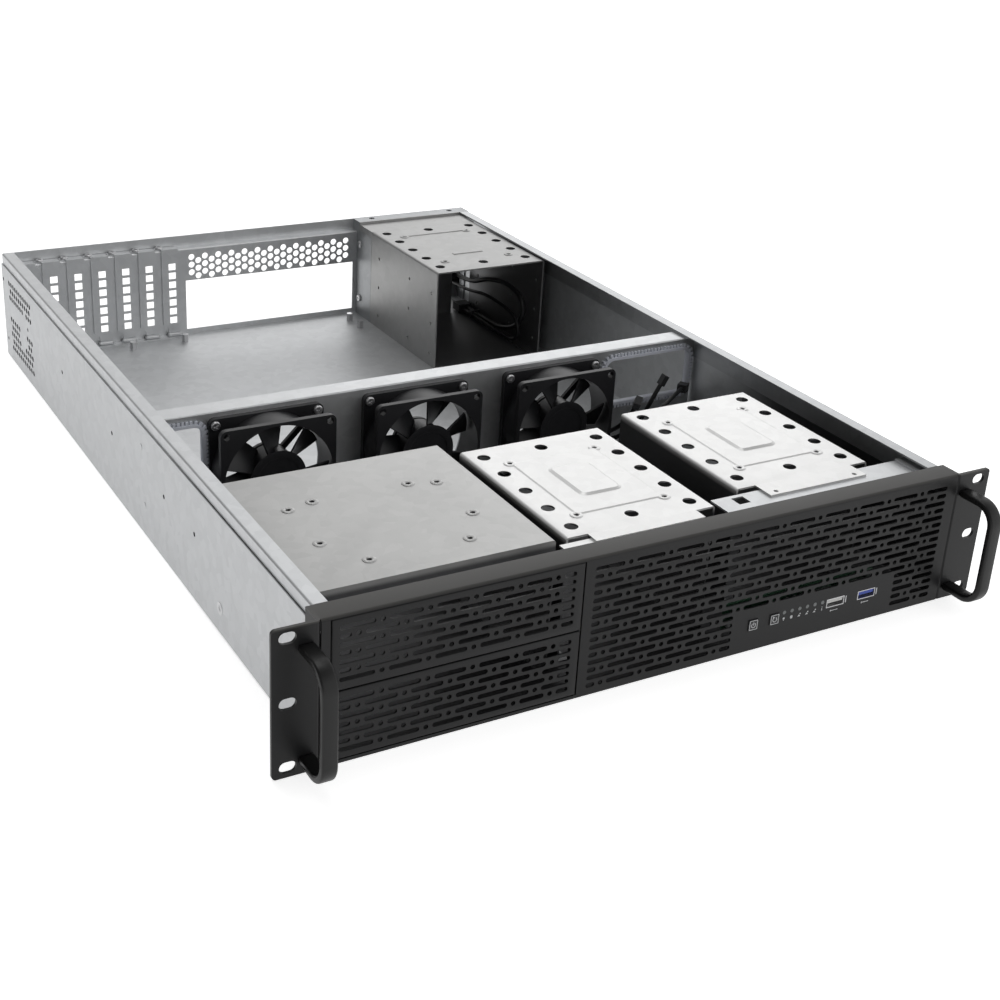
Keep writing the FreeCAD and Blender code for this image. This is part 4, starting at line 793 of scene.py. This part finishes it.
# The collar of a screw hole: a low ring, cut off just below the sheet's top
COLLAR_RADIUS = 2.75
COLLAR_ROLL = 1.3
COLLAR_FLATNESS = 0.45
COLLAR_FOOT = 0.3
bpy.ops.object.select_all(action="DESELECT")
bpy.ops.mesh.primitive_torus_add(
    major_radius=COLLAR_RADIUS * MM, minor_radius=COLLAR_ROLL * MM,
    major_segments=28, minor_segments=12,
)
collar = bpy.context.object
collar.scale.z = COLLAR_FLATNESS
settle(collar, "collar")
bpy.ops.object.mode_set(mode="EDIT")
bpy.ops.mesh.select_all(action="SELECT")
bpy.ops.mesh.bisect(
    plane_co=(0, 0, -COLLAR_FOOT * MM), plane_no=(0, 0, 1), clear_inner=True, use_fill=True,
)
bpy.ops.object.mode_set(mode="OBJECT")


def collars(places, z):
    """Collars pressed up round screw holes."""
    return [
        copy_at(collar, "collar_copy", Matrix.Translation(Vector((x, y, z)) * MM))
        for x, y in places
    ]


def four_places(x, y, wide, long):
    """The screw holes of a drive about x, from y on."""
    return [(x + side * wide / 2, y + on) for on in (0, long) for side in (-1, 1)]


def flat(name, x0, x1, y0, y1, top):
    """A flat piece of sheet below a height."""
    return block(name, x0, x1, y0, y1, top - SHEET, top)


def cut_down(sheet, outlines, top):
    """Cuts holes down through a sheet at a height."""
    return cut_by(sheet, pressed("holes", outlines, "XY", top - 3, top + 2))


def drive_holes(places):
    """Outlines of screw holes for drives."""
    return [disc(x, y, DRIVE_HOLE, 12) for x, y in places]


def small_cage(node, box, top, first, extras, side_holes=(), bars=()):
    """A cage for small drives: large holes, four collars and a pressed field or bars.

    It is cut before its parts are joined, because they overlap.
    """
    left, right = box[:2]
    x = left + SMALL_WIDE / 2
    last = first + HOLE_STEP * (HOLE_COUNT - 1)
    holes = [
        disc(at, first + HOLE_STEP * i, LARGE_HOLE)
        for at in (left + HOLE_EDGE, right - HOLE_EDGE) for i in range(HOLE_COUNT)
    ]
    holes += [disc(x, first, LARGE_HOLE), disc(x, last, LARGE_HOLE)]
    places = four_places(x, first + DRIVE_START, *SMALL_DRIVE)
    bores = drive_holes(places)
    body = trough(node + "_trough", *box, top)
    cut_down(body, holes + bores, top)
    if side_holes:
        cut_by(body, pressed("side_holes", side_holes, "YZ", left - 2, right + 2))
    if bars:
        raised = [field(*bar, top, 0, *BAR) for bar in bars]
    else:
        (x0, y0), (x1, y1) = places[0], places[3]
        low = field(
            x0 - PAST_SCREWS, x1 + PAST_SCREWS, y0 - PAST_SCREWS, y1 + PAST_SCREWS,
            top, 0, *LOW_FIELD,
        )
        cut_down(low, bores, top)
        start, end = HIGH_FIELD_RUN
        high = field(
            x - HIGH_FIELD_HALF, x + HIGH_FIELD_HALF, first + start, first + end,
            top + LOW_FIELD[1], HIGH_FIELD_CORNER, *HIGH_FIELD,
        )
        raised = [low, high]
    return join(node + "_dressed", [body] + extras + raised + collars(places, top))


LUG_TOP = CAGE_TOP - SHEET - 0.01
middle = small_cage("middle", MIDDLE_CAGE, CAGE_TOP, 44.1, [
    flat("tongue", -37.4, 37.8, 23, 32.5, CAGE_TOP),
    flat("lug", -58.2, -36.2, 23, 29, LUG_TOP),
])
fit(smooth(middle, 20), MIDDLE_SHEET, instead=["drive_cage_middle"])

RIGHT_MIDDLE = 129.6
TONGUE_HOLE_Y = 34.2
tongue = flat("tongue", 92, 167.2, 30.6, 45.8, CAGE_TOP)
cut_down(tongue, drive_holes([
    (RIGHT_MIDDLE + side * SMALL_DRIVE[0] / 2, TONGUE_HOLE_Y) for side in (-1, 1)
]), CAGE_TOP)
right_cage = small_cage("right", RIGHT_CAGE, CAGE_TOP, 59.2, [tongue])
fit(smooth(right_cage, 20), RIGHT_SHEET, instead=["drive_cage_right"])

# The rear cage has a back wall with a corner left open for the cables, and a shelf behind
# it that is bent up against the rear bracket
CAGE_BACK = (
    (102.4, 1.3), (184, 1.3), (184, 42), (203.4, 42), (203.4, 84.9), (102.4, 84.9),
)
SHELF = (101.4, 204.5)
SHELF_FRONT = 604.9
SIDE_HOLE = 1.4
REAR_BARS = ((121.6, 184.5, 581.3, 585.3), (138.3, 167, 519.8, 523.4))
rear_cage = small_cage("rear", REAR_CAGE, REAR_TOP, 494, [
    flat("shelf", *SHELF, SHELF_FRONT, BRACKET_FRONT, REAR_TOP),
    pressed("cage_back", [CAGE_BACK], "XZ", 603.7, 604.95),
    block("shelf_side", 101.3, 102.5, SHELF_FRONT, BRACKET_FRONT, 80.6, REAR_TOP - 0.3),
    block("shelf_lip", *SHELF, BRACKET_FRONT - SHEET, BRACKET_FRONT, REAR_TOP - 0.2, HEIGHT),
], [
    disc(y, z, SIDE_HOLE, 10) for y in (488.4, 529.3, 589) for z in (12.6, 39.2, 65.8)
], REAR_BARS)
fit(smooth(rear_cage, 20), REAR_SHEET, instead=["rear_drive_cage"])

WIDE_MIDDLE = -131.85
wide_screws = four_places(WIDE_MIDDLE, 54.4, *SMALL_DRIVE)
wide_screws += four_places(WIDE_MIDDLE, 81.8, *WIDE_DRIVE)
wide = trough("wide_trough", *WIDE_CAGE, CAGE_TOP)
cut_down(wide, drive_holes(wide_screws), CAGE_TOP)
lip = block("wide_lip", -204.65, -59.05, 33.01, 34.2, 77, 83.4)
wide = join("wide_dressed", [wide, lip] + collars(wide_screws, CAGE_TOP))
fit(smooth(wide), WIDE_SHEET, instead=["drive_cage_left"])
bpy.data.objects.remove(collar)

# Base tray: floor and walls in one sheet, with the vent field and holes of the left wall
WALL_TOP = 79.8
TRAY_BEND = 2.2
WALL_HOLE = 1.6
WALL_HOLES = (
    (569.5, 47.5), (471.5, 47.5), (349.5, 47.5), (242, 47.5), (186.4, 47.5),
    (641, 67.8), (638, 17.3), (145, 18.4),
)
# Runs of vents: row from below, first column and count
VENT_RUNS = (
    (0, 0, 11), (1, 0.5, 10), (2, 0, 4), (2, 6, 5), (3, 0.5, 2), (3, 6.5, 4),
    (4, 0, 3), (4, 6, 5), (7, 0, 3), (7, 4, 7), (8, 0.5, 10), (9, 0, 11),
)
VENT_Y = 559.5
VENT_Z = 14
VENT_STEP = 6.3
VENT_ROW = 6.17
VENT_RADIUS = 2.3
tray_box = (-HALF, HALF, SHEET, LENGTH, 0, WALL_TOP)
tray = thicken(bent("tray", tray_box, "top front back", TRAY_BEND))
wall_cuts = [disc(y, z, WALL_HOLE, 12) for y, z in WALL_HOLES]
for row, column, count in VENT_RUNS:
    for i in range(count):
        y = VENT_Y + VENT_STEP * (column + i)
        wall_cuts.append(disc(y, VENT_Z + VENT_ROW * row, VENT_RADIUS, 10))
cut_by(tray, pressed("wall_cuts", wall_cuts, "YZ", -HALF - 1, -HALF + 2.0))
fit(smooth(tray), FLOOR_ZINC, instead=["base_tray"])

# Rear panel: recessed sheet with round vents, openings, ledge, lip and bridges
PANEL_Y = 636
PANEL_SIDES = (-212.1, 101.3)
LEDGE = 78.5
LIP_LEFT = -203.7
EDGE_BEND = 1
CONNECTOR_OPENING = (-61.2, 97.55, 5.5, 49.95)
COVERS = [-195.3 + 20.32 * i for i in range(7)]
COVER_OPENING_HALF = 7
COVER_OPENING_HEIGHT = (10.5, 73.5)
ROUND_COLUMNS = 25
ROUND_ROWS = 3
ROUND_LEFT = -55.4
ROUND_TOP = 70.6
ROUND_STEP = 6.07
ROUND_ROW = 6.85
ROUND_RADIUS = 2.75
BRIDGE_HALF = 6.5
BRIDGE_BEND = 1.7
BRIDGE_EDGE = 0.8
outlines = [
    box_outline(*PANEL_SIDES, SHEET, LEDGE - SHEET), box_outline(*CONNECTOR_OPENING),
]
outlines += [
    box_outline(x - COVER_OPENING_HALF, x + COVER_OPENING_HALF, *COVER_OPENING_HEIGHT)
    for x in COVERS
]
for column in range(ROUND_COLUMNS):
    for row in range(ROUND_ROWS):
        z = ROUND_TOP - ROUND_ROW * (row + 0.5 * (column % 2))
        outlines.append(disc(ROUND_LEFT + ROUND_STEP * column, z, ROUND_RADIUS, 16))
over = (PANEL_Y + EDGE_BEND, LEDGE - EDGE_BEND)
below = (LENGTH - EDGE_BEND, LEDGE - SHEET + EDGE_BEND)
outside = corner_arc(over, EDGE_BEND, pi, -pi / 2, 3)
under = corner_arc(below, EDGE_BEND, 0, -pi / 2, 3)
ledge = [(PANEL_Y, LEDGE - SHEET)] + outside
lip = ledge + [(LENGTH - SHEET, LEDGE), (LENGTH - SHEET, HEIGHT), (LENGTH, HEIGHT)] + under
panel_parts = [
    pressed("rear_sheet", outlines, "XZ", PANEL_Y, PANEL_Y + SHEET),
    pressed("rear_lip", [lip], "YZ", LIP_LEFT, PANEL_SIDES[1]),
    pressed("rear_ledge", [ledge + [(LENGTH, LEDGE)] + under], "YZ", PANEL_SIDES[0], LIP_LEFT),
    flat("rear_flange", *PANEL_SIDES, PANEL_Y + SHEET, LENGTH, 2 * SHEET),
    flat("rear_foot", -204.5, -64.2, 629.2, PANEL_Y, 2 * SHEET),
    block("rear_side", -213.3, -212.11, PANEL_Y, LENGTH, 3.2, 70.7),
]
for x in COVERS:
    loop = block("bridge", x - BRIDGE_HALF, x + BRIDGE_HALF, 630.9, 634.5, 2.4, 5)
    pick_edges(loop, lambda edge, start, end: abs(start.z - end.z) > MM)
    bpy.ops.mesh.bevel(offset=BRIDGE_BEND * MM, segments=4, affect="EDGES")
    bpy.ops.object.mode_set(mode="OBJECT")
    panel_parts.append(soften(loop, BRIDGE_EDGE, 3))
panel = join("rear_panel_sheet", panel_parts)
# The rear panel takes the lit copy of the zinc, a painted light
fit(smooth(panel), LIT_PANEL_ZINC, instead=["rear_panel"])


# Screws: one pan head with a cross recess, copied to each place
FACING = {
    "+Z": Matrix.Identity(4),
    "+Y": Matrix.Rotation(-pi / 2, 4, "X"),
    "-Y": Matrix.Rotation(pi / 2, 4, "X"),
    "-X": Matrix.Rotation(-pi / 2, 4, "Y"),
}
HEAD_RADIUS = 3.2
HEAD_TALL = 1.8
HEAD_ROUND = 0.85
CROSS_LONG = 3.4
CROSS_WIDE = 0.8
SCREW_TURN = 0.4


def pan_head():
    """A pan head with a cross recess that stands on the ground plane."""
    head = rod("head", (0, 0, HEAD_TALL / 2), HEAD_RADIUS, HEAD_TALL, sides=20)
    pick_faces(head, lambda face: face.normal.z > SQUARE_ON)
    bpy.ops.mesh.bevel(offset=HEAD_ROUND * MM, segments=4, affect="EDGES")
    bpy.ops.object.mode_set(mode="OBJECT")
    for long, wide in ((CROSS_LONG, CROSS_WIDE), (CROSS_WIDE, CROSS_LONG)):
        cut_by(head, block(
            "arm", -long / 2, long / 2, -wide / 2, wide / 2, HEAD_TALL / 2, HEAD_TALL + 1.2,
        ))
    return smooth(head, 50)


head = pan_head()


def screws(name, facing, places):
    """Screws of one kind at their places, each turned a bit further, as one piece."""
    copies = []
    for number, place in enumerate(places):
        spin = Matrix.Rotation(SCREW_TURN * number, 4, "Z")
        there = Matrix.Translation(Vector(place) * MM) @ FACING[facing] @ spin
        copies.append(copy_at(head, name + "_copy", there))
    fit(join(name + "_heads", copies), CHROME, instead=[name])


FAN_X = (-134.4, -24.75, 84.9)
FAN_Y = 247.5
FAN_Z = 42.2
FAN_SCREW_Y = 268.5
FAN_SCREW_OUT = 35.75
COVER_SCREW_LEFT = 9.8
screws("fan_screws", "-Y", [
    (x + FAN_SCREW_OUT * a, FAN_SCREW_Y, FAN_Z + FAN_SCREW_OUT * b)
    for x in FAN_X for a in (-1, 1) for b in (-1, 1)
])
screws("slot_cover_screws", "+Z", [
    (x - COVER_SCREW_LEFT, 639.5, LEDGE + SHEET) for x in COVERS
])
screws("rear_bracket_screws", "-X", [(101.3, 628, z) for z in (17.4, 68.4)])
screws("handle_screws", "+Y", [
    (222.4 * side, 2, z) for side in (-1, 1) for z in (8.75, 74.75)
])
bpy.data.objects.remove(head)

# Fan rotors: a rounded hub with seven cambered blades
BLADES = 7
# Depth and reach round the axis at a blade's front, middle and back
ROOT = ((3.7, -5.2), (11.2, -0.2), (18.5, 6.7))
TIP = ((3.5, -13.3), (9.4, -3.85), (15.1, 7.75))
ROOT_RADIUS = 15.5
TIP_RADIUS = 36.9
BLADE_THICK = 1.1
BLADE_STEPS = 8
HUB_RADIUS = 17
HUB_MIDDLE = 11
HUB_LONG = 19
HUB_ROUND = 1.8
LABEL_RIM = 1.2
LABEL_SLOPE = 0.5
LABEL_DEEP = 0.35
ROTOR_TURN = 0.35


def through(three, t):
    """A smooth run through three points."""
    a, b, c = three
    k = (1 - t) * (1 - 2 * t), 4 * t * (1 - t), t * (2 * t - 1)
    return tuple(a[i] * k[0] + b[i] * k[1] + c[i] * k[2] for i in range(2))


def blade():
    """A flat grid shaped to a blade and given its thickness."""
    bpy.ops.object.select_all(action="DESELECT")
    bpy.ops.mesh.primitive_grid_add(
        x_subdivisions=BLADE_STEPS, y_subdivisions=BLADE_STEPS, size=2,
    )
    piece = bpy.context.object
    for vertex in piece.data.vertices:
        t = (vertex.co.x + 1) / 2
        share = (vertex.co.y + 1) / 2
        radius = ROOT_RADIUS + (TIP_RADIUS - ROOT_RADIUS) * share
        root = through(ROOT, t)
        tip = through(TIP, t)
        depth = root[0] + (tip[0] - root[0]) * share
        angle = (root[1] + (tip[1] - root[1]) * share) / radius
        vertex.co = Vector((radius * sin(angle), depth, radius * cos(angle))) * MM
    return thicken(piece, BLADE_THICK)


hub = rod("hub", (0, HUB_MIDDLE, 0), HUB_RADIUS, HUB_LONG, "Y", 48)
pick_faces(hub, lambda face: face.normal.y < -SQUARE_ON)
bpy.ops.mesh.bevel(offset=HUB_ROUND * MM, segments=5, affect="EDGES")
bpy.ops.object.mode_set(mode="OBJECT")
pick_faces(hub, lambda face: face.normal.y < -SQUARE_ON)
bpy.ops.mesh.inset(thickness=LABEL_RIM * MM, depth=0)
bpy.ops.mesh.inset(thickness=LABEL_SLOPE * MM, depth=-LABEL_DEEP * MM)
bpy.ops.object.mode_set(mode="OBJECT")
first_blade = blade()
turned = [
    copy_at(first_blade, "blade_copy", Matrix.Rotation(2 * pi * number / BLADES, 4, "Y"))
    for number in range(BLADES)
]
bpy.data.objects.remove(first_blade)
shaft = rod("shaft", (0, 22.5, 0), 1.95, 4.3, "Y", 16)
rotor = smooth(join("rotor", [hub, shaft] + turned), 40)
for number, x in enumerate(FAN_X):
    node = "fan_rotor_" + str(number + 1)
    start_turn = Matrix.Rotation(ROTOR_TURN * number, 4, "Y")
    there = Matrix.Translation(Vector((x, FAN_Y, FAN_Z)) * MM) @ start_turn
    fit(copy_at(rotor, node + "_blades", there), FAN, node, [node])
bpy.data.objects.remove(rotor)


# Grommets: a lining with teeth over the edge of the sheet
GROMMETS = {"left": (-209, -176), "right": (131, 209)}
PASSAGE = (42, 79.8)
PASSAGE_CORNER = 8
LINING = 2
LINING_RUN = (270.5, 275.7)
TEETH_RUNS = {"teeth": (270.9, 272.4), "teeth_behind": (273.8, 275.3)}
TOOTH_PITCH = 2.9
TOOTH_WIDE = 1.9
TOOTH_TALL = 2.8
TOOTH_INSIDE = 0.4
TEETH_AT_CORNER = 4


def walk(x0, x1, z0, z1, radius, pitch):
    """Places round a rounded opening, each with its outward angle."""
    places = []
    runs = (
        ((x0 + radius, z0), (x1 - radius, z0), -pi / 2),
        ((x1, z0 + radius), (x1, z1 - radius), 0),
        ((x1 - radius, z1), (x0 + radius, z1), pi / 2),
        ((x0, z1 - radius), (x0, z0 + radius), pi),
    )
    for (ax, az), (bx, bz), angle in runs:
        count = max(1, round((abs(bx - ax) + abs(bz - az)) / pitch))
        for i in range(count):
            share = (i + 0.5) / count
            places.append((ax + (bx - ax) * share, az + (bz - az) * share, angle))
    for cx, cz, start in (
        (x1 - radius, z0 + radius, -pi / 2), (x1 - radius, z1 - radius, 0),
        (x0 + radius, z1 - radius, pi / 2), (x0 + radius, z0 + radius, pi),
    ):
        for i in range(TEETH_AT_CORNER):
            angle = start + pi / 2 * (i + 0.5) / TEETH_AT_CORNER
            places.append((cx + radius * cos(angle), cz + radius * sin(angle), angle))
    return places


def tooth(x, z, angle):
    """Outline of a tooth that points outward from an opening's edge."""
    out = (cos(angle), sin(angle))
    side = (-out[1], out[0])
    corners = ((0, -1), (TOOTH_TALL, -1), (TOOTH_TALL, 1), (0, 1))
    return [
        (x + out[0] * (a - TOOTH_INSIDE) + side[0] * b * TOOTH_WIDE / 2,
         z + out[1] * (a - TOOTH_INSIDE) + side[1] * b * TOOTH_WIDE / 2)
        for a, b in corners
    ]


z0, z1 = PASSAGE
for name, (x0, x1) in GROMMETS.items():
    outer = box_outline(x0, x1, z0, z1, PASSAGE_CORNER)
    inner = box_outline(
        x0 + LINING, x1 - LINING, z0 + LINING, z1 - LINING, PASSAGE_CORNER - LINING,
    )
    lining = pressed("lining", [outer, inner], "XZ", *LINING_RUN)
    places = walk(x0, x1, z0, z1, PASSAGE_CORNER, TOOTH_PITCH)
    teeth = [tooth(x, z, angle) for x, z, angle in places]
    grommet = join("grommet_" + name + "_teeth", [lining] + [
        pressed(row, teeth, "XZ", *run) for row, run in TEETH_RUNS.items()
    ])
    fit(grommet, GROMMET, instead=["grommet_" + name])

# Print on the controls: plain outlines and generic signs
INK = 0.06
CAP_FACE = -0.8
FRAME_OUTSIDE = (3.0, 3.2, 0.3)
FRAME_INSIDE = (2.6, 2.8, 0.2)
ARC_RADIUS = 1.7
ARC_WIDE = 0.45
ARC_START = pi * 0.66
ARC_TURN = pi * 1.68
SIGN_Z = 14.9
BAR_Z = 12.7


def broken_ring(x, z):
    """Outline of a ring that is open at its top."""
    outer = corner_arc((x, z), ARC_RADIUS, ARC_START, ARC_TURN, 20)
    inner = corner_arc((x, z), ARC_RADIUS - ARC_WIDE, ARC_START + ARC_TURN, -ARC_TURN, 20)
    return outer + inner


for name, x in BUTTONS.items():
    sign = [about(x, BUTTON_Z, *FRAME_OUTSIDE), about(x, BUTTON_Z, *FRAME_INSIDE)]
    if name == "power":
        sign.append(broken_ring(x, BUTTON_Z - 0.2))
        sign.append(box_outline(x - 0.22, x + 0.22, BUTTON_Z - 0.2, BUTTON_Z + 1.9))
    else:
        sign.append(broken_ring(x, BUTTON_Z - 0.1))
        sign.append([
            (x - 1.5, BUTTON_Z + 0.9), (x - 0.1, BUTTON_Z + 1.5), (x - 1.4, BUTTON_Z + 2.3),
        ])
    print_piece = pressed(name + "_sign", sign, "XZ", CAP_FACE - INK, CAP_FACE + 0.3)
    fit(print_piece, PRINT, name + "_button")

# Signs under the lights: a lamp, a drive, three net marks and an exclamation mark
first, second, *middle_lights, final = LIGHTS
signs = [disc(first, 16.3, 0.8, 12), box_outline(first - 0.3, first + 0.3, 14.8, 15.3)]
signs.append(box_outline(second - 0.9, second + 0.9, SIGN_Z, 17.1, 0.7))
for x in middle_lights:
    signs.append([(x - 1.1, 15), (x + 1.1, 15), (x, 16.4)])
    signs.append(box_outline(x + 0.3, x + 1.2, 16.3, 17.2))
signs.append(disc(final, 17.2, 0.35, 10))
signs.append(box_outline(final - 0.25, final + 0.25, SIGN_Z, 16.5))
for x in PORTS.values():
    signs.append(box_outline(x + 7.9, x + 8.7, PORT_Z - 2.2, PORT_Z + 2.4))
    signs.append(box_outline(x - 2.6, x + 2.6, BAR_Z, 13.2))
    signs.append(disc(x - 2.8, 12.95, 0.6, 12))
fit(pressed("panel_signs", signs, "XZ", -INK, 0.2), PRINT)

# Tongues of the ports
TONGUE_HALF = 5.8
TONGUE_RUN = (0.5, 11.2)
for (name, x), colour in zip(PORTS.items(), (WHITE, BLUE)):
    shape = box_outline(x - TONGUE_HALF, x + TONGUE_HALF, PORT_Z - 0.05, PORT_Z + 1.95)
    fit(pressed("tongue_" + name, [shape], "XZ", *TONGUE_RUN), colour)

# Marks of the left wall: a countersunk screw and two pressed dots
WALL_SCREW = (145, 18.4)
WALL_SCREW_RADIUS = 4.2
WALL_DOTS = ((285, 64), (281.7, 23.7))
WALL_DOT_RADIUS = 2.2
screw = rod("wall_screw", (-HALF + 0.15, *WALL_SCREW), WALL_SCREW_RADIUS, 0.9, "X")
pick_faces(screw, lambda face: face.normal.x < -SQUARE_ON)
bpy.ops.mesh.inset(thickness=1.4 * MM, depth=0)
bpy.ops.mesh.inset(thickness=1.3 * MM, depth=-0.5 * MM)
bpy.ops.object.mode_set(mode="OBJECT")
fit(smooth(soften(screw, 0.25)), CHROME)
dots = [rod("wall_dot", (-HALF, y, z), WALL_DOT_RADIUS, 0.7, "X") for y, z in WALL_DOTS]
fit(smooth(soften(join("wall_dots", dots), 0.28)), ZINC)

# Floor, lights and world
FLOOR_HALF = 6
FLOOR_BELOW = 0.0005
FLOOR_GLOW = 0.75
GLOW_IN_MIRRORS = 0.8
bpy.ops.object.select_all(action="DESELECT")
bpy.ops.mesh.primitive_plane_add(size=FLOOR_HALF * 2, location=(0, 0, -FLOOR_BELOW))
floor = bpy.context.object
floor.name = "floor"
paper = Finish(
    "floor_paper", Base_Color=(0.9, 0.9, 0.9, 1), Roughness=0.9, Specular_IOR_Level=0.1,
)
looks = paper.add("ShaderNodeLightPath", {}, {}, "Is Camera Ray")
shines = paper.add("ShaderNodeLightPath", {}, {}, "Is Glossy Ray")
glow = paper.add("ShaderNodeEmission", {}, {"Color": (1, 1, 1, 1), "Strength": FLOOR_GLOW})
dark = paper.add("ShaderNodeEmission", {}, {"Color": (0, 0, 0, 1), "Strength": 0.0})
added = paper.add("ShaderNodeMixShader", {}, {
    0: looks + shines * GLOW_IN_MIRRORS, 1: dark, 2: glow,
})
lit = paper.add("ShaderNodeAddShader", {}, {
    0: Value(paper, paper.shader.outputs[0]), 1: added,
})
paper.tree.links.new(lit.socket, paper.tree.nodes["Material Output"].inputs["Surface"])
floor.data.materials.append(paper.material)


def lamp(name, place, aim, wide, tall, power):
    """A soft rectangular lamp that points at a place; its sizes are in metres."""
    data = bpy.data.lights.new(name, "AREA")
    data.shape = "RECTANGLE"
    data.size = wide
    data.size_y = tall
    data.energy = power
    light = bpy.data.objects.new(name, data)
    light.location = place
    light.rotation_euler = (Vector(aim) - Vector(place)).to_track_quat("-Z", "Y").to_euler()
    bpy.context.collection.objects.link(light)


lamp("top_lamp", (0.0, 0.7, 2.2), (0, 0.35, 0), 1.2, 1.2, 9)
lamp("back_lamp", (1.45, 2.2, 1.05), (0.1, 0.3, 0.05), 1.5, 1.0, 4.5)

# World: a soft sky, dim overhead and to the left, and white where the camera sees it
world = bpy.data.worlds.new("world")
bpy.context.scene.world = world
world.use_nodes = True
sky = world.node_tree


def sky_node(kind, settings, inputs, output=0):
    """Adds a node to the world, as Finish.add does to a material."""
    node = sky.nodes.new(kind)
    for name, setting in settings.items():
        setattr(node, name, setting)
    for name, amount in inputs.items():
        if isinstance(amount, bpy.types.NodeSocket):
            sky.links.new(amount, node.inputs[name])
        else:
            node.inputs[name].default_value = amount
    return node.outputs[output]


direction = sky_node("ShaderNodeTexCoord", {}, {}, "Generated")
sideways = sky_node("ShaderNodeSeparateXYZ", {}, {"Vector": direction}, "X")
height = sky_node("ShaderNodeSeparateXYZ", {}, {"Vector": direction}, "Z")
from_right = sky_node("ShaderNodeMapRange", {"interpolation_type": "SMOOTHSTEP"}, {
    "Value": sideways, "From Min": -0.65, "From Max": 0.2, "To Min": 0.22, "To Max": 1.0,
})
from_low = sky_node("ShaderNodeMapRange", {"interpolation_type": "SMOOTHSTEP"}, {
    "Value": height, "From Min": 0.45, "From Max": 0.9, "To Min": 1.0, "To Max": 0.25,
})
soft = sky_node("ShaderNodeMath", {"operation": "MULTIPLY"}, {0: from_right, 1: from_low})
seen = sky_node("ShaderNodeLightPath", {}, {}, "Is Camera Ray")
level = sky_node("ShaderNodeMix", {"data_type": "FLOAT"}, {0: seen, 2: soft, 3: 1.0})
backdrop = sky.nodes["Background"]
backdrop.inputs["Color"].default_value = (1, 1, 1, 1)
sky.links.new(level, backdrop.inputs["Strength"])
bpy.context.scene.view_settings.view_transform = "Standard"
